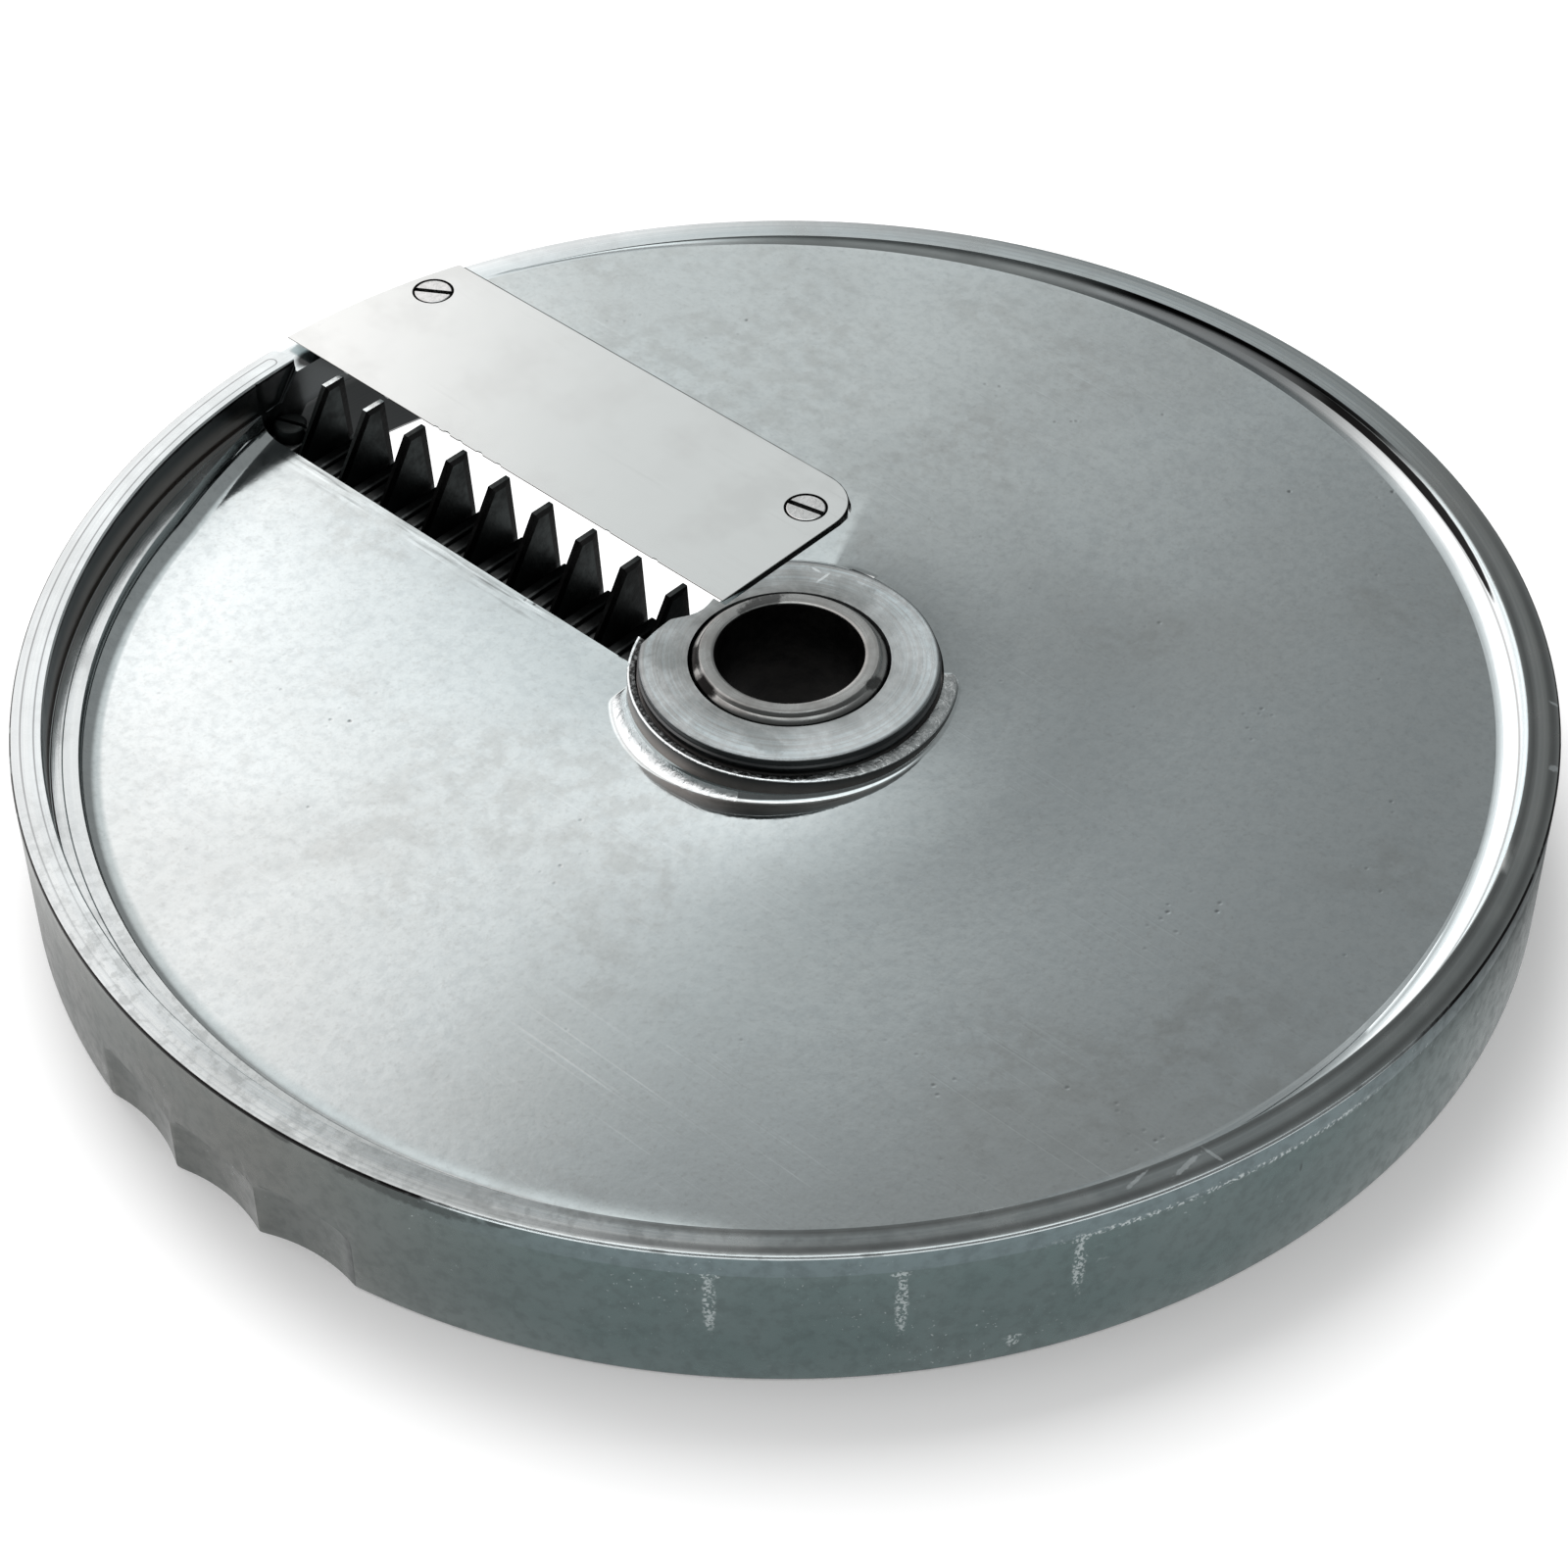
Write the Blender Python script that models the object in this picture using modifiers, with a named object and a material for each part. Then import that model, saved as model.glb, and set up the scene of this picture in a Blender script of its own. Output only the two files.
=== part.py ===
# Julienne disc of a vegetable cutter: a cast aluminium disc with a helical plate, a slicing
# blade set flush in its level part, and a comb of upright teeth standing in front of the edge.
# Frame: the axis of the disc is Z, the skirt stands on Z = 0, the blade points along +X and
# cuts towards +Y. Lengths are metres.

import math

import bmesh
import bpy

MM = 0.001

# Fits
CLEARANCE = 0.3 * MM

# Disc casting
DISC_RADIUS = 95.0 * MM
DISC_HEIGHT = 20.9 * MM
SKIRT_WALL = 3.0 * MM
LAND_WIDTH = 4.0 * MM
EDGE_BREAK = 0.4 * MM
CUT_DROP = 8.0 * MM
PLATE_THICKNESS = 4.0 * MM
SEAT_THICKNESS = 7.0 * MM
SEAT_BLEND = 110.0
UNDERSIDE_FILLET = 3.0 * MM
LEVEL_END_LIMIT = 65.0
FILLET_RISE = 0.6
LEDGE_DROP = 5.0 * MM
LEDGE_WIDTH = 3.7 * MM
LEDGE_FILLET = 2.6 * MM
LEDGE_END_START = 15.0
LEDGE_END_LENGTH = 7.0
COVE_RADIUS = 3.5 * MM
COVE_SHARE = 0.6
TURN_STEPS = 72
PLATE_STATIONS = 6
ARC_STEPS = 3

# Hub
FLANGE_RADIUS = 18.7 * MM
RING_DROP = 2.0 * MM
RING_WIDTH = 1.5 * MM
HUB_COVE = 3.6 * MM
HUB_GROOVE = 0.5 * MM
HUB_LIFT = 1.5 * MM
HUB_WEB = 2.55 * MM

# Bush
BUSH_BORE_RADIUS = 9.34 * MM
BUSH_RADIUS = 12.35 * MM
BUSH_TOP_RADIUS = 11.2 * MM
BUSH_STAND = 1.0 * MM
BORE_BREAK = 0.5 * MM
BUSH_SIDES = 48

# Slot in front of the blade
SLOT_FRONT = 7.7 * MM
SLOT_REAR = 8.5 * MM
SLOT_RIM_GAP = 0.6 * MM

# Finger scoops in the skirt
SCOOP_ANGLES = (80.9, 89.6, 98.0)
SCOOP_WIDTH = 14.4 * MM
SCOOP_DEPTH = 1.5 * MM
SCOOP_HEIGHT = 10.2 * MM
SCOOP_ROUND = 3.0 * MM
SCOOP_SIDES = 96

# Slicing blade
EDGE_OFFSET = 2.34 * MM
BLADE_WIDTH = 27.7 * MM
BLADE_THICKNESS = 1.2 * MM
SEAT_FRONT = 1.1 * MM
BLADE_HUB_GAP = 0.95 * MM
BLADE_OVERHANG = 0.6 * MM
BLADE_CORNER = 6.6 * MM
CORNER_STEPS = 6
BLADE_END_STEPS = 8
EDGE_BEVEL = 7.0 * MM
EDGE_LAND = 0.15 * MM

# Blade screws
SCREW_TURNS = {"outer": 33.0, "inner": 1.0}
SCREW_REAR_INSET = 6.85 * MM
SCREW_RIM_INSET = 3.2 * MM
SCREW_HUB_INSET = 4.9 * MM
SCREW_HEAD_RADIUS = 2.75 * MM
SCREW_SHANK_RADIUS = 1.5 * MM
SCREW_CONE = 1.3 * MM
SCREW_HEAD_RIM = 0.3 * MM
SCREW_LENGTH = 8.0 * MM
SCREW_SLOT_WIDTH = 0.6 * MM
SCREW_SLOT_DEPTH = 0.7 * MM
SCREW_BOSS_RADIUS = 4.6 * MM
SCREW_BOSS_DROP = 10.5 * MM
SCREW_SIDES = 32

# Comb
TOOTH_COUNT = 9
FIRST_TOOTH_INSET = 5.0 * MM
LAST_TOOTH_INSET = 5.24 * MM
TOOTH_THICKNESS = 0.8 * MM
TOOTH_TOP_GAP = 1.05 * MM
TOOTH_TOP_LENGTH = 3.2 * MM
TOOTH_SHARPENING = 0.3 * MM
COMB_TOP_SHARE = 0.46
COMB_REAR = 3.2 * MM
TONGUES = 3
TONGUE_GROOVE = 0.4 * MM
TONGUE_DEPTH = 0.7 * MM
ROD_SHARE = 0.26
ROD_SIDES = 16
BLOCK_RISE = 2.3 * MM
LUG_LENGTH = 5.4 * MM
LUG_FLOOR = 0.4 * MM
LUG_TOP = 3.6 * MM

# Screw that holds the comb's outer block
COMB_SCREW_END_INSET = 2.0 * MM
COMB_SCREW_FRONT_INSET = 2.7 * MM
COMB_SCREW_TURN = 20.0
COMB_SCREW_HEAD_RADIUS = 2.3 * MM
COMB_SCREW_HEAD_HEIGHT = 2.0 * MM

# Values that follow from the ones above
TOP = DISC_HEIGHT
WALL_RADIUS = DISC_RADIUS - LAND_WIDTH
SKIRT_INNER = DISC_RADIUS - SKIRT_WALL
LEDGE_RADIUS = WALL_RADIUS - LEDGE_WIDTH
RING_RADIUS = FLANGE_RADIUS + RING_WIDTH
HUB_BORE_RADIUS = BUSH_RADIUS + CLEARANCE
SLOT_INNER = HUB_BORE_RADIUS + HUB_WEB
SLOT_OUTER = WALL_RADIUS - SLOT_RIM_GAP
BLADE_INNER = HUB_BORE_RADIUS + BLADE_HUB_GAP
BLADE_END_RADIUS = DISC_RADIUS + BLADE_OVERHANG
BLADE_REAR = EDGE_OFFSET + BLADE_WIDTH
SEAT_LEVEL = TOP - BLADE_THICKNESS - CLEARANCE
SCREW_Y = SCREW_REAR_INSET - BLADE_REAR
SCREW_PLACES = {
    "outer": (math.sqrt((DISC_RADIUS - SCREW_RIM_INSET) ** 2 - SCREW_Y ** 2), SCREW_Y),
    "inner": (BLADE_INNER + SCREW_HUB_INSET, SCREW_Y),
}
BOSS_RADII = {"outer": SCREW_RIM_INSET - EDGE_BREAK, "inner": SCREW_BOSS_RADIUS}
COMB_FRONT = SLOT_FRONT - CLEARANCE
COMB_TOP = TOP * COMB_TOP_SHARE
COMB_BOTTOM = LUG_TOP + CLEARANCE
ROD_LEVEL = (COMB_TOP + COMB_BOTTOM) / 2
ROD_RADIUS = (COMB_TOP - COMB_BOTTOM) * ROD_SHARE
ROD_HOLE = ROD_RADIUS + CLEARANCE
BLOCK_OUTER_END = SLOT_OUTER - EDGE_BREAK
FIRST_TOOTH = SLOT_INNER + FIRST_TOOTH_INSET
LAST_TOOTH = BLOCK_OUTER_END - LAST_TOOTH_INSET
TOOTH_PITCH = (LAST_TOOTH - FIRST_TOOTH) / (TOOTH_COUNT - 1)
SPACER_WIDTH = TOOTH_PITCH - TOOTH_THICKNESS - 2 * CLEARANCE
BLOCK_TOP = COMB_TOP + BLOCK_RISE
COMB_SCREW_X = BLOCK_OUTER_END - COMB_SCREW_END_INSET
COMB_SCREW_Y = COMB_FRONT - COMB_SCREW_FRONT_INSET

COLOURS = {
    "cast_aluminium": ((0.52, 0.55, 0.56, 1.0), 0.42, 1.0),
    "turned_steel": ((0.36, 0.35, 0.33, 1.0), 0.38, 1.0),
    "brushed_steel": ((0.72, 0.74, 0.75, 1.0), 0.28, 1.0),
    "dark_steel": ((0.035, 0.037, 0.038, 1.0), 0.35, 1.0),
    "screw_steel": ((0.62, 0.63, 0.64, 1.0), 0.32, 1.0),
}


def clear_scene():
    for item in list(bpy.data.objects):
        bpy.data.objects.remove(item, do_unlink=True)


def make_collection(name):
    collection = bpy.data.collections.new(name)
    bpy.context.scene.collection.children.link(collection)
    return collection


def make_materials():
    materials = {}
    for name, (colour, roughness, metallic) in COLOURS.items():
        material = bpy.data.materials.new(name)
        material.use_nodes = True
        shader = material.node_tree.nodes["Principled BSDF"]
        shader.inputs["Base Color"].default_value = colour
        shader.inputs["Roughness"].default_value = roughness
        shader.inputs["Metallic"].default_value = metallic
        material.diffuse_color = colour
        materials[name] = material
    return materials


def mesh_object(name, mesh, collection, material=None):
    piece = bpy.data.objects.new(name, mesh)
    collection.objects.link(piece)
    if material is not None:
        mesh.materials.append(material)
    return piece


def mesh_from(bm, name):
    bmesh.ops.recalc_face_normals(bm, faces=bm.faces)
    mesh = bpy.data.meshes.new(name)
    bm.to_mesh(mesh)
    bm.free()
    return mesh


def shade(piece, angle=35.0):
    piece.data.shade_smooth()
    piece.data.set_sharp_from_angle(angle=math.radians(angle))


def make_cutter(name, mesh, cutters):
    cutter = mesh_object(name, mesh, cutters)
    cutter.hide_render = True
    cutter.display_type = "WIRE"
    return cutter


def add_boolean(piece, other, operation):
    modifier = piece.modifiers.new(other.name, "BOOLEAN")
    modifier.operation = operation
    modifier.object = other
    modifier.solver = "EXACT"


# Outline swept straight from one end to the other: axis X takes (y, z) points, axis Y takes
# (x, z) points and axis Z takes (x, y) points
def prism(name, outline, axis, low, high):
    places = {
        "X": lambda a, b, depth: (depth, a, b),
        "Y": lambda a, b, depth: (a, depth, b),
        "Z": lambda a, b, depth: (a, b, depth),
    }
    bm = bmesh.new()
    base = bm.faces.new([bm.verts.new(places[axis](a, b, low)) for a, b in outline])
    swept = bmesh.ops.extrude_face_region(bm, geom=[base])
    moved = [item for item in swept["geom"] if isinstance(item, bmesh.types.BMVert)]
    bmesh.ops.translate(bm, vec=places[axis](0.0, 0.0, high - low), verts=moved)
    return mesh_from(bm, name)


def cylinder_mesh(name, radius, low, high, sides):
    bm = bmesh.new()
    bmesh.ops.create_cone(bm, cap_ends=True, segments=sides, radius1=radius, radius2=radius,
                          depth=high - low)
    bmesh.ops.translate(bm, vec=(0.0, 0.0, (low + high) / 2), verts=bm.verts)
    return mesh_from(bm, name)


# Turned solid from a closed profile of (radius, height) points, listed top to bottom on its
# outer side
def turned(name, profile, sides, collection, material=None):
    mesh = bpy.data.meshes.new(name)
    count = len(profile)
    edges = [(k, (k + 1) % count) for k in range(count)]
    if profile[0][0] == 0.0:
        edges = edges[:-1]
    mesh.from_pydata([(radius, 0.0, height) for radius, height in profile], edges, [])
    piece = mesh_object(name, mesh, collection, material)
    screw = piece.modifiers.new("turn", "SCREW")
    screw.angle = math.tau
    screw.steps = sides
    screw.render_steps = sides
    screw.use_merge_vertices = True
    screw.merge_threshold = 0.00001
    return piece


def limit(value, low, high):
    return max(low, min(high, value))


def smooth_step(value):
    share = limit(value, 0.0, 1.0)
    return share * share * (3.0 - 2.0 * share)


# Depth of the plate under the rim at a radius and a clockwise turn in degrees. It is level up
# to the blade's rear edge, then falls evenly until the front edge of the slot.
def plate_drop(radius, turn):
    start = math.degrees(math.asin(min(BLADE_REAR / radius, math.sin(math.radians(LEVEL_END_LIMIT)))))
    end = 360.0 - math.degrees(math.asin(min(SLOT_FRONT / radius, 1.0)))
    if turn >= 360.0 or turn < start:
        return 0.0
    return CUT_DROP * limit((turn - start) / (end - start), 0.0, 1.0)


def casting_thickness(turn):
    share = 1.0 - smooth_step(turn / SEAT_BLEND)
    return PLATE_THICKNESS + (SEAT_THICKNESS - PLATE_THICKNESS) * share


# Inner radius of the ledge, which tapers into the wall before the slot
def ledge_radius(turn):
    before_slot = 360.0 - turn
    taper = smooth_step((LEDGE_END_START - before_slot) / LEDGE_END_LENGTH)
    return LEDGE_RADIUS + (LEDGE_WIDTH - 2 * EDGE_BREAK) * taper


def arc_shares():
    return [math.radians(90.0) * k / ARC_STEPS for k in range(ARC_STEPS + 1)]


# Hub side of the section: flange, turned groove, ring and the cove down to the plate
def hub_top(turn):
    ring_level = TOP - min(plate_drop(RING_RADIUS, turn), RING_DROP)
    points = [
        (HUB_BORE_RADIUS, TOP),
        (FLANGE_RADIUS - EDGE_BREAK / 2, TOP),
        (FLANGE_RADIUS, TOP - EDGE_BREAK / 2),
        (FLANGE_RADIUS, ring_level - HUB_GROOVE),
        (FLANGE_RADIUS + HUB_GROOVE, ring_level),
        (RING_RADIUS - EDGE_BREAK / 2, ring_level),
    ]
    for angle in arc_shares():
        radius = RING_RADIUS + HUB_COVE * (1.0 - math.cos(angle))
        drop = plate_drop(radius, turn)
        rise = FILLET_RISE * max(drop - RING_DROP, 0.0)
        points.append((radius, TOP - drop + rise * (1.0 - math.sin(angle))))
    return points


# Radii of the plate's points, from the hub's cove to the ledge's fillet
def plate_radii(turn):
    inner = RING_RADIUS + HUB_COVE
    outer = ledge_radius(turn) - LEDGE_FILLET
    share = [(k + 1) / (PLATE_STATIONS + 1) for k in range(PLATE_STATIONS)]
    return [inner + (outer - inner) * value for value in share]


# Rim side of the section: fillet, ledge, cove, land and the outer wall
def rim_top(turn):
    edge = ledge_radius(turn)
    drop = plate_drop(edge, turn)
    points = []
    for angle in arc_shares():
        rise = FILLET_RISE * max(drop - LEDGE_DROP, 0.0)
        radius = edge - LEDGE_FILLET * (1.0 - math.sin(angle))
        points.append((radius, TOP - drop + rise * (1.0 - math.cos(angle))))
    ledge_level = TOP - min(drop, LEDGE_DROP)
    points.append((edge + EDGE_BREAK / 4, ledge_level))
    sharp = smooth_step((drop / LEDGE_DROP - COVE_SHARE) / (1.0 - COVE_SHARE))
    cove = COVE_RADIUS + (EDGE_BREAK - COVE_RADIUS) * sharp
    cove = min(cove, WALL_RADIUS - edge - EDGE_BREAK / 2)
    rise = min(drop, cove)
    for angle in arc_shares():
        radius = WALL_RADIUS - cove * (1.0 - math.sin(angle))
        points.append((radius, ledge_level + rise * (1.0 - math.cos(angle))))
    points.append((WALL_RADIUS + EDGE_BREAK / 2, TOP))
    return points


def outer_wall():
    return [
        (DISC_RADIUS - EDGE_BREAK, TOP),
        (DISC_RADIUS, TOP - EDGE_BREAK),
        (DISC_RADIUS, EDGE_BREAK),
        (DISC_RADIUS - EDGE_BREAK, 0.0),
        (SKIRT_INNER + EDGE_BREAK, 0.0),
        (SKIRT_INNER, EDGE_BREAK),
    ]


# Underside of the section, from the skirt to the hub
def underside(turn):
    def level(radius):
        return TOP - plate_drop(radius, turn) - casting_thickness(turn)

    points = []
    for angle in arc_shares():
        radius = SKIRT_INNER - UNDERSIDE_FILLET * (1.0 - math.cos(angle))
        points.append((radius, level(radius) - UNDERSIDE_FILLET * (1.0 - math.sin(angle))))
    for radius in reversed(plate_radii(turn)):
        points.append((radius, level(radius)))
    for angle in arc_shares():
        radius = RING_RADIUS + UNDERSIDE_FILLET * (1.0 - math.sin(angle))
        points.append((radius, level(radius) - UNDERSIDE_FILLET * (1.0 - math.cos(angle))))
    points.append((RING_RADIUS, HUB_LIFT + EDGE_BREAK))
    points.append((RING_RADIUS - EDGE_BREAK, HUB_LIFT))
    points.append((HUB_BORE_RADIUS, HUB_LIFT))
    return points


def section(turn):
    top = hub_top(turn)
    top += [(radius, TOP - plate_drop(radius, turn)) for radius in plate_radii(turn)]
    return top + rim_top(turn) + outer_wall() + underside(turn)


# Turns at which the section is placed. The last one lies inside the slot, where the plate's
# low end stops and its level start begins.
def section_turns():
    turns = [360.0 * k / TURN_STEPS for k in range(TURN_STEPS)]
    return turns + [360.0 - 180.0 / TURN_STEPS]


# The helical casting is a loft: one section of hub, plate, ledge, rim and skirt, whose plate
# falls with the turn, is carried once round the axis and closed on itself inside the slot
def helical_casting(name):
    bm = bmesh.new()
    rings = []
    for turn in section_turns():
        angle = math.radians(-turn)
        place = [(r * math.cos(angle), r * math.sin(angle), z) for r, z in section(turn)]
        rings.append([bm.verts.new(point) for point in place])
    for k, ring in enumerate(rings):
        after = rings[(k + 1) % len(rings)]
        for m in range(len(ring)):
            n = (m + 1) % len(ring)
            bm.faces.new((ring[m], ring[n], after[n], after[m]))
    return mesh_from(bm, name)


def slot_cutters(cutters):
    outline = [(SLOT_INNER, -SLOT_REAR), (SLOT_OUTER, -SLOT_REAR), (SLOT_OUTER, SLOT_FRONT),
               (SLOT_INNER, SLOT_FRONT)]
    slot = prism("slot", outline, "Z", -EDGE_BREAK, TOP + EDGE_BREAK)
    corner = [(SLOT_INNER, SLOT_FRONT - EDGE_BREAK), (RING_RADIUS, SLOT_FRONT - EDGE_BREAK),
              (RING_RADIUS, FLANGE_RADIUS), (SLOT_INNER, FLANGE_RADIUS)]
    flange_corner = prism("flange_corner", corner, "Z", TOP - RING_DROP - HUB_GROOVE,
                          TOP + EDGE_BREAK)
    return [make_cutter("slot", slot, cutters),
            make_cutter("flange_corner", flange_corner, cutters)]


# Outline of the blade, or of its seat, seen from above, with a rounded inner rear corner. The
# outer end is an arc round the disc's axis.
def blade_outline(grow, front, outer_radius):
    inner = BLADE_INNER - grow
    rear = -BLADE_REAR - grow
    corner = BLADE_CORNER + grow
    points = [(inner, front), (inner, rear + corner)]
    for k in range(1, CORNER_STEPS + 1):
        angle = math.radians(90.0 * k / CORNER_STEPS)
        points.append((inner + corner * (1.0 - math.cos(angle)),
                       rear + corner * (1.0 - math.sin(angle))))
    first = math.asin(rear / outer_radius)
    last = math.asin(front / outer_radius)
    for k in range(BLADE_END_STEPS + 1):
        angle = first + (last - first) * k / BLADE_END_STEPS
        points.append((outer_radius * math.cos(angle), outer_radius * math.sin(angle)))
    return points


# The seat reaches past the blade's edge, and leaves a shallow notch in the rim there
def seat_cutter(cutters):
    outline = blade_outline(CLEARANCE, SEAT_FRONT, DISC_RADIUS + 2 * EDGE_BREAK)
    mesh = prism("blade_seat", outline, "Z", SEAT_LEVEL, TOP + EDGE_BREAK)
    return make_cutter("blade_seat", mesh, cutters)


def scoop_cutter(cutters, name, angle):
    own_bulge = DISC_RADIUS - math.sqrt(DISC_RADIUS ** 2 - (SCOOP_WIDTH / 2) ** 2)
    depth = SCOOP_DEPTH - own_bulge
    radius = ((SCOOP_WIDTH / 2) ** 2 + depth ** 2) / (2 * depth)
    profile = [(0.0, SCOOP_HEIGHT)]
    for share in arc_shares():
        profile.append((radius - SCOOP_ROUND * (1.0 - math.sin(share)),
                        SCOOP_HEIGHT - SCOOP_ROUND * (1.0 - math.cos(share))))
    profile += [(radius, -EDGE_BREAK), (0.0, -EDGE_BREAK)]
    cutter = turned(name, profile, SCOOP_SIDES, cutters)
    centre = DISC_RADIUS - SCOOP_DEPTH + radius
    turn = math.radians(angle)
    cutter.location = (centre * math.cos(turn), centre * math.sin(turn), 0.0)
    cutter.hide_render = True
    cutter.display_type = "WIRE"
    return cutter


def upright_cylinder(name, radius, x, y, low, high, collection):
    cutter = make_cutter(name, cylinder_mesh(name, radius, low, high, SCREW_SIDES), collection)
    cutter.location = (x, y, 0.0)
    return cutter


def block_mesh(name, x_range, y_range, z_range):
    outline = [(y_range[0], z_range[0]), (y_range[1], z_range[0]), (y_range[1], z_range[1]),
               (y_range[0], z_range[1])]
    return prism(name, outline, "X", *x_range)


# Cast lugs that carry the comb: one on the hub and one on the skirt
def lug_shapes(cutters):
    y_range = (-COMB_REAR, COMB_FRONT)
    inner = (SLOT_INNER - EDGE_BREAK * 2, SLOT_INNER + LUG_LENGTH)
    outer = (BLOCK_OUTER_END - LUG_LENGTH, SKIRT_INNER + SKIRT_WALL / 3)
    inner_mesh = block_mesh("hub_lug", inner, y_range, (HUB_LIFT + LUG_FLOOR, LUG_TOP))
    outer_mesh = block_mesh("skirt_lug", outer, y_range, (LUG_FLOOR, LUG_TOP))
    return [make_cutter("hub_lug", inner_mesh, cutters),
            make_cutter("skirt_lug", outer_mesh, cutters)]


def make_disc_body(collection, cutters, material):
    body = mesh_object("disc_body", helical_casting("disc_body"), collection, material)
    for name, (x, y) in SCREW_PLACES.items():
        boss = upright_cylinder("screw_boss_" + name, BOSS_RADII[name], x, y,
                                TOP - SCREW_BOSS_DROP, SEAT_LEVEL - EDGE_BREAK, cutters)
        add_boolean(body, boss, "UNION")
    for cutter in slot_cutters(cutters):
        add_boolean(body, cutter, "DIFFERENCE")
    for lug in lug_shapes(cutters):
        add_boolean(body, lug, "UNION")
    add_boolean(body, seat_cutter(cutters), "DIFFERENCE")
    for name, (x, y) in SCREW_PLACES.items():
        hole = upright_cylinder("screw_hole_" + name, SCREW_SHANK_RADIUS + CLEARANCE, x, y,
                                TOP - SCREW_BOSS_DROP - EDGE_BREAK, TOP, cutters)
        add_boolean(body, hole, "DIFFERENCE")
    comb_hole = upright_cylinder("comb_screw_hole", SCREW_SHANK_RADIUS + CLEARANCE, COMB_SCREW_X,
                                 COMB_SCREW_Y, 0.0, LUG_TOP + EDGE_BREAK, cutters)
    add_boolean(body, comb_hole, "DIFFERENCE")
    for k, angle in enumerate(SCOOP_ANGLES):
        add_boolean(body, scoop_cutter(cutters, "scoop_" + str(k + 1), angle), "DIFFERENCE")
    shade(body)
    return body


def make_hub_bush(collection, material):
    top = TOP + BUSH_STAND
    profile = [
        (BUSH_TOP_RADIUS, top),
        (BUSH_RADIUS, TOP - EDGE_BREAK),
        (BUSH_RADIUS, HUB_LIFT + BORE_BREAK),
        (BUSH_RADIUS - BORE_BREAK, HUB_LIFT),
        (BUSH_BORE_RADIUS + BORE_BREAK, HUB_LIFT),
        (BUSH_BORE_RADIUS, HUB_LIFT + BORE_BREAK),
        (BUSH_BORE_RADIUS, top - BORE_BREAK),
        (BUSH_BORE_RADIUS + BORE_BREAK, top),
    ]
    bush = turned("hub_bush", profile, BUSH_SIDES, collection, material)
    shade(bush)
    return bush


# Countersink and shank hole for a flush screw, as one turned cutter
def countersink(cutters, name, x, y):
    top = TOP + EDGE_BREAK
    cone = TOP - SCREW_HEAD_RIM - CLEARANCE
    wide = SCREW_HEAD_RADIUS + CLEARANCE / 2
    narrow = SCREW_SHANK_RADIUS + CLEARANCE
    bottom = TOP - BLADE_THICKNESS - EDGE_BREAK
    profile = [
        (0.0, top),
        (wide, top),
        (wide, cone),
        (narrow, cone - SCREW_CONE),
        (narrow, bottom),
        (0.0, bottom),
    ]
    cutter = turned(name, profile, SCREW_SIDES, cutters)
    cutter.location = (x, y, 0.0)
    cutter.hide_render = True
    cutter.display_type = "WIRE"
    return cutter


def make_slicing_blade(collection, cutters, material):
    outline = blade_outline(0.0, -EDGE_OFFSET, BLADE_END_RADIUS)
    plan = prism("slicing_blade", outline, "Z", TOP - BLADE_THICKNESS, TOP)
    blade = mesh_object("slicing_blade", plan, collection, material)
    wedge = [
        (-EDGE_OFFSET - EDGE_BEVEL, TOP - BLADE_THICKNESS - EDGE_BREAK),
        (EDGE_BREAK, TOP - BLADE_THICKNESS - EDGE_BREAK),
        (EDGE_BREAK, TOP - EDGE_LAND),
        (-EDGE_OFFSET, TOP - EDGE_LAND),
        (-EDGE_OFFSET - EDGE_BEVEL, TOP - BLADE_THICKNESS),
    ]
    ground = prism("edge_bevel", wedge, "X", BLADE_INNER - EDGE_BREAK,
                   BLADE_END_RADIUS + EDGE_BREAK)
    add_boolean(blade, make_cutter("edge_bevel", ground, cutters), "DIFFERENCE")
    for name, (x, y) in SCREW_PLACES.items():
        sink = countersink(cutters, "countersink_" + name, x, y)
        add_boolean(blade, sink, "DIFFERENCE")
    shade(blade)
    return blade


def screw_slot_cutter(cutters, name, radius, x, y, turn, low, high):
    outline = [(-radius, -SCREW_SLOT_WIDTH / 2), (radius, -SCREW_SLOT_WIDTH / 2),
               (radius, SCREW_SLOT_WIDTH / 2), (-radius, SCREW_SLOT_WIDTH / 2)]
    cutter = make_cutter(name, prism(name, outline, "Z", low, high), cutters)
    cutter.location = (x, y, 0.0)
    cutter.rotation_euler = (0.0, 0.0, math.radians(turn))
    return cutter


def make_blade_screw(collection, cutters, material, side):
    x, y = SCREW_PLACES[side]
    head = SCREW_HEAD_RADIUS - CLEARANCE / 2
    cone = TOP - SCREW_HEAD_RIM
    profile = [
        (0.0, TOP),
        (head, TOP),
        (head, cone),
        (SCREW_SHANK_RADIUS, cone - SCREW_CONE),
        (SCREW_SHANK_RADIUS, TOP - SCREW_LENGTH),
        (0.0, TOP - SCREW_LENGTH),
    ]
    screw = turned("blade_screw_" + side, profile, SCREW_SIDES, collection, material)
    screw.location = (x, y, 0.0)
    slot = screw_slot_cutter(cutters, "blade_screw_slot_" + side, SCREW_HEAD_RADIUS + EDGE_BREAK,
                             x, y, SCREW_TURNS[side], TOP - SCREW_SLOT_DEPTH, TOP + EDGE_BREAK)
    add_boolean(screw, slot, "DIFFERENCE")
    shade(screw)
    return screw


# Side view of a tooth: an upright front that leans forward to the comb, a short level top and
# a nearly upright back
def tooth_outline():
    tip = TOP - TOOTH_TOP_GAP
    return [
        (-COMB_REAR, COMB_BOTTOM),
        (COMB_FRONT, COMB_BOTTOM),
        (COMB_FRONT, COMB_TOP),
        (-EDGE_OFFSET + TOOTH_TOP_LENGTH, tip),
        (-EDGE_OFFSET, tip),
        (-COMB_REAR, COMB_TOP),
    ]


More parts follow.
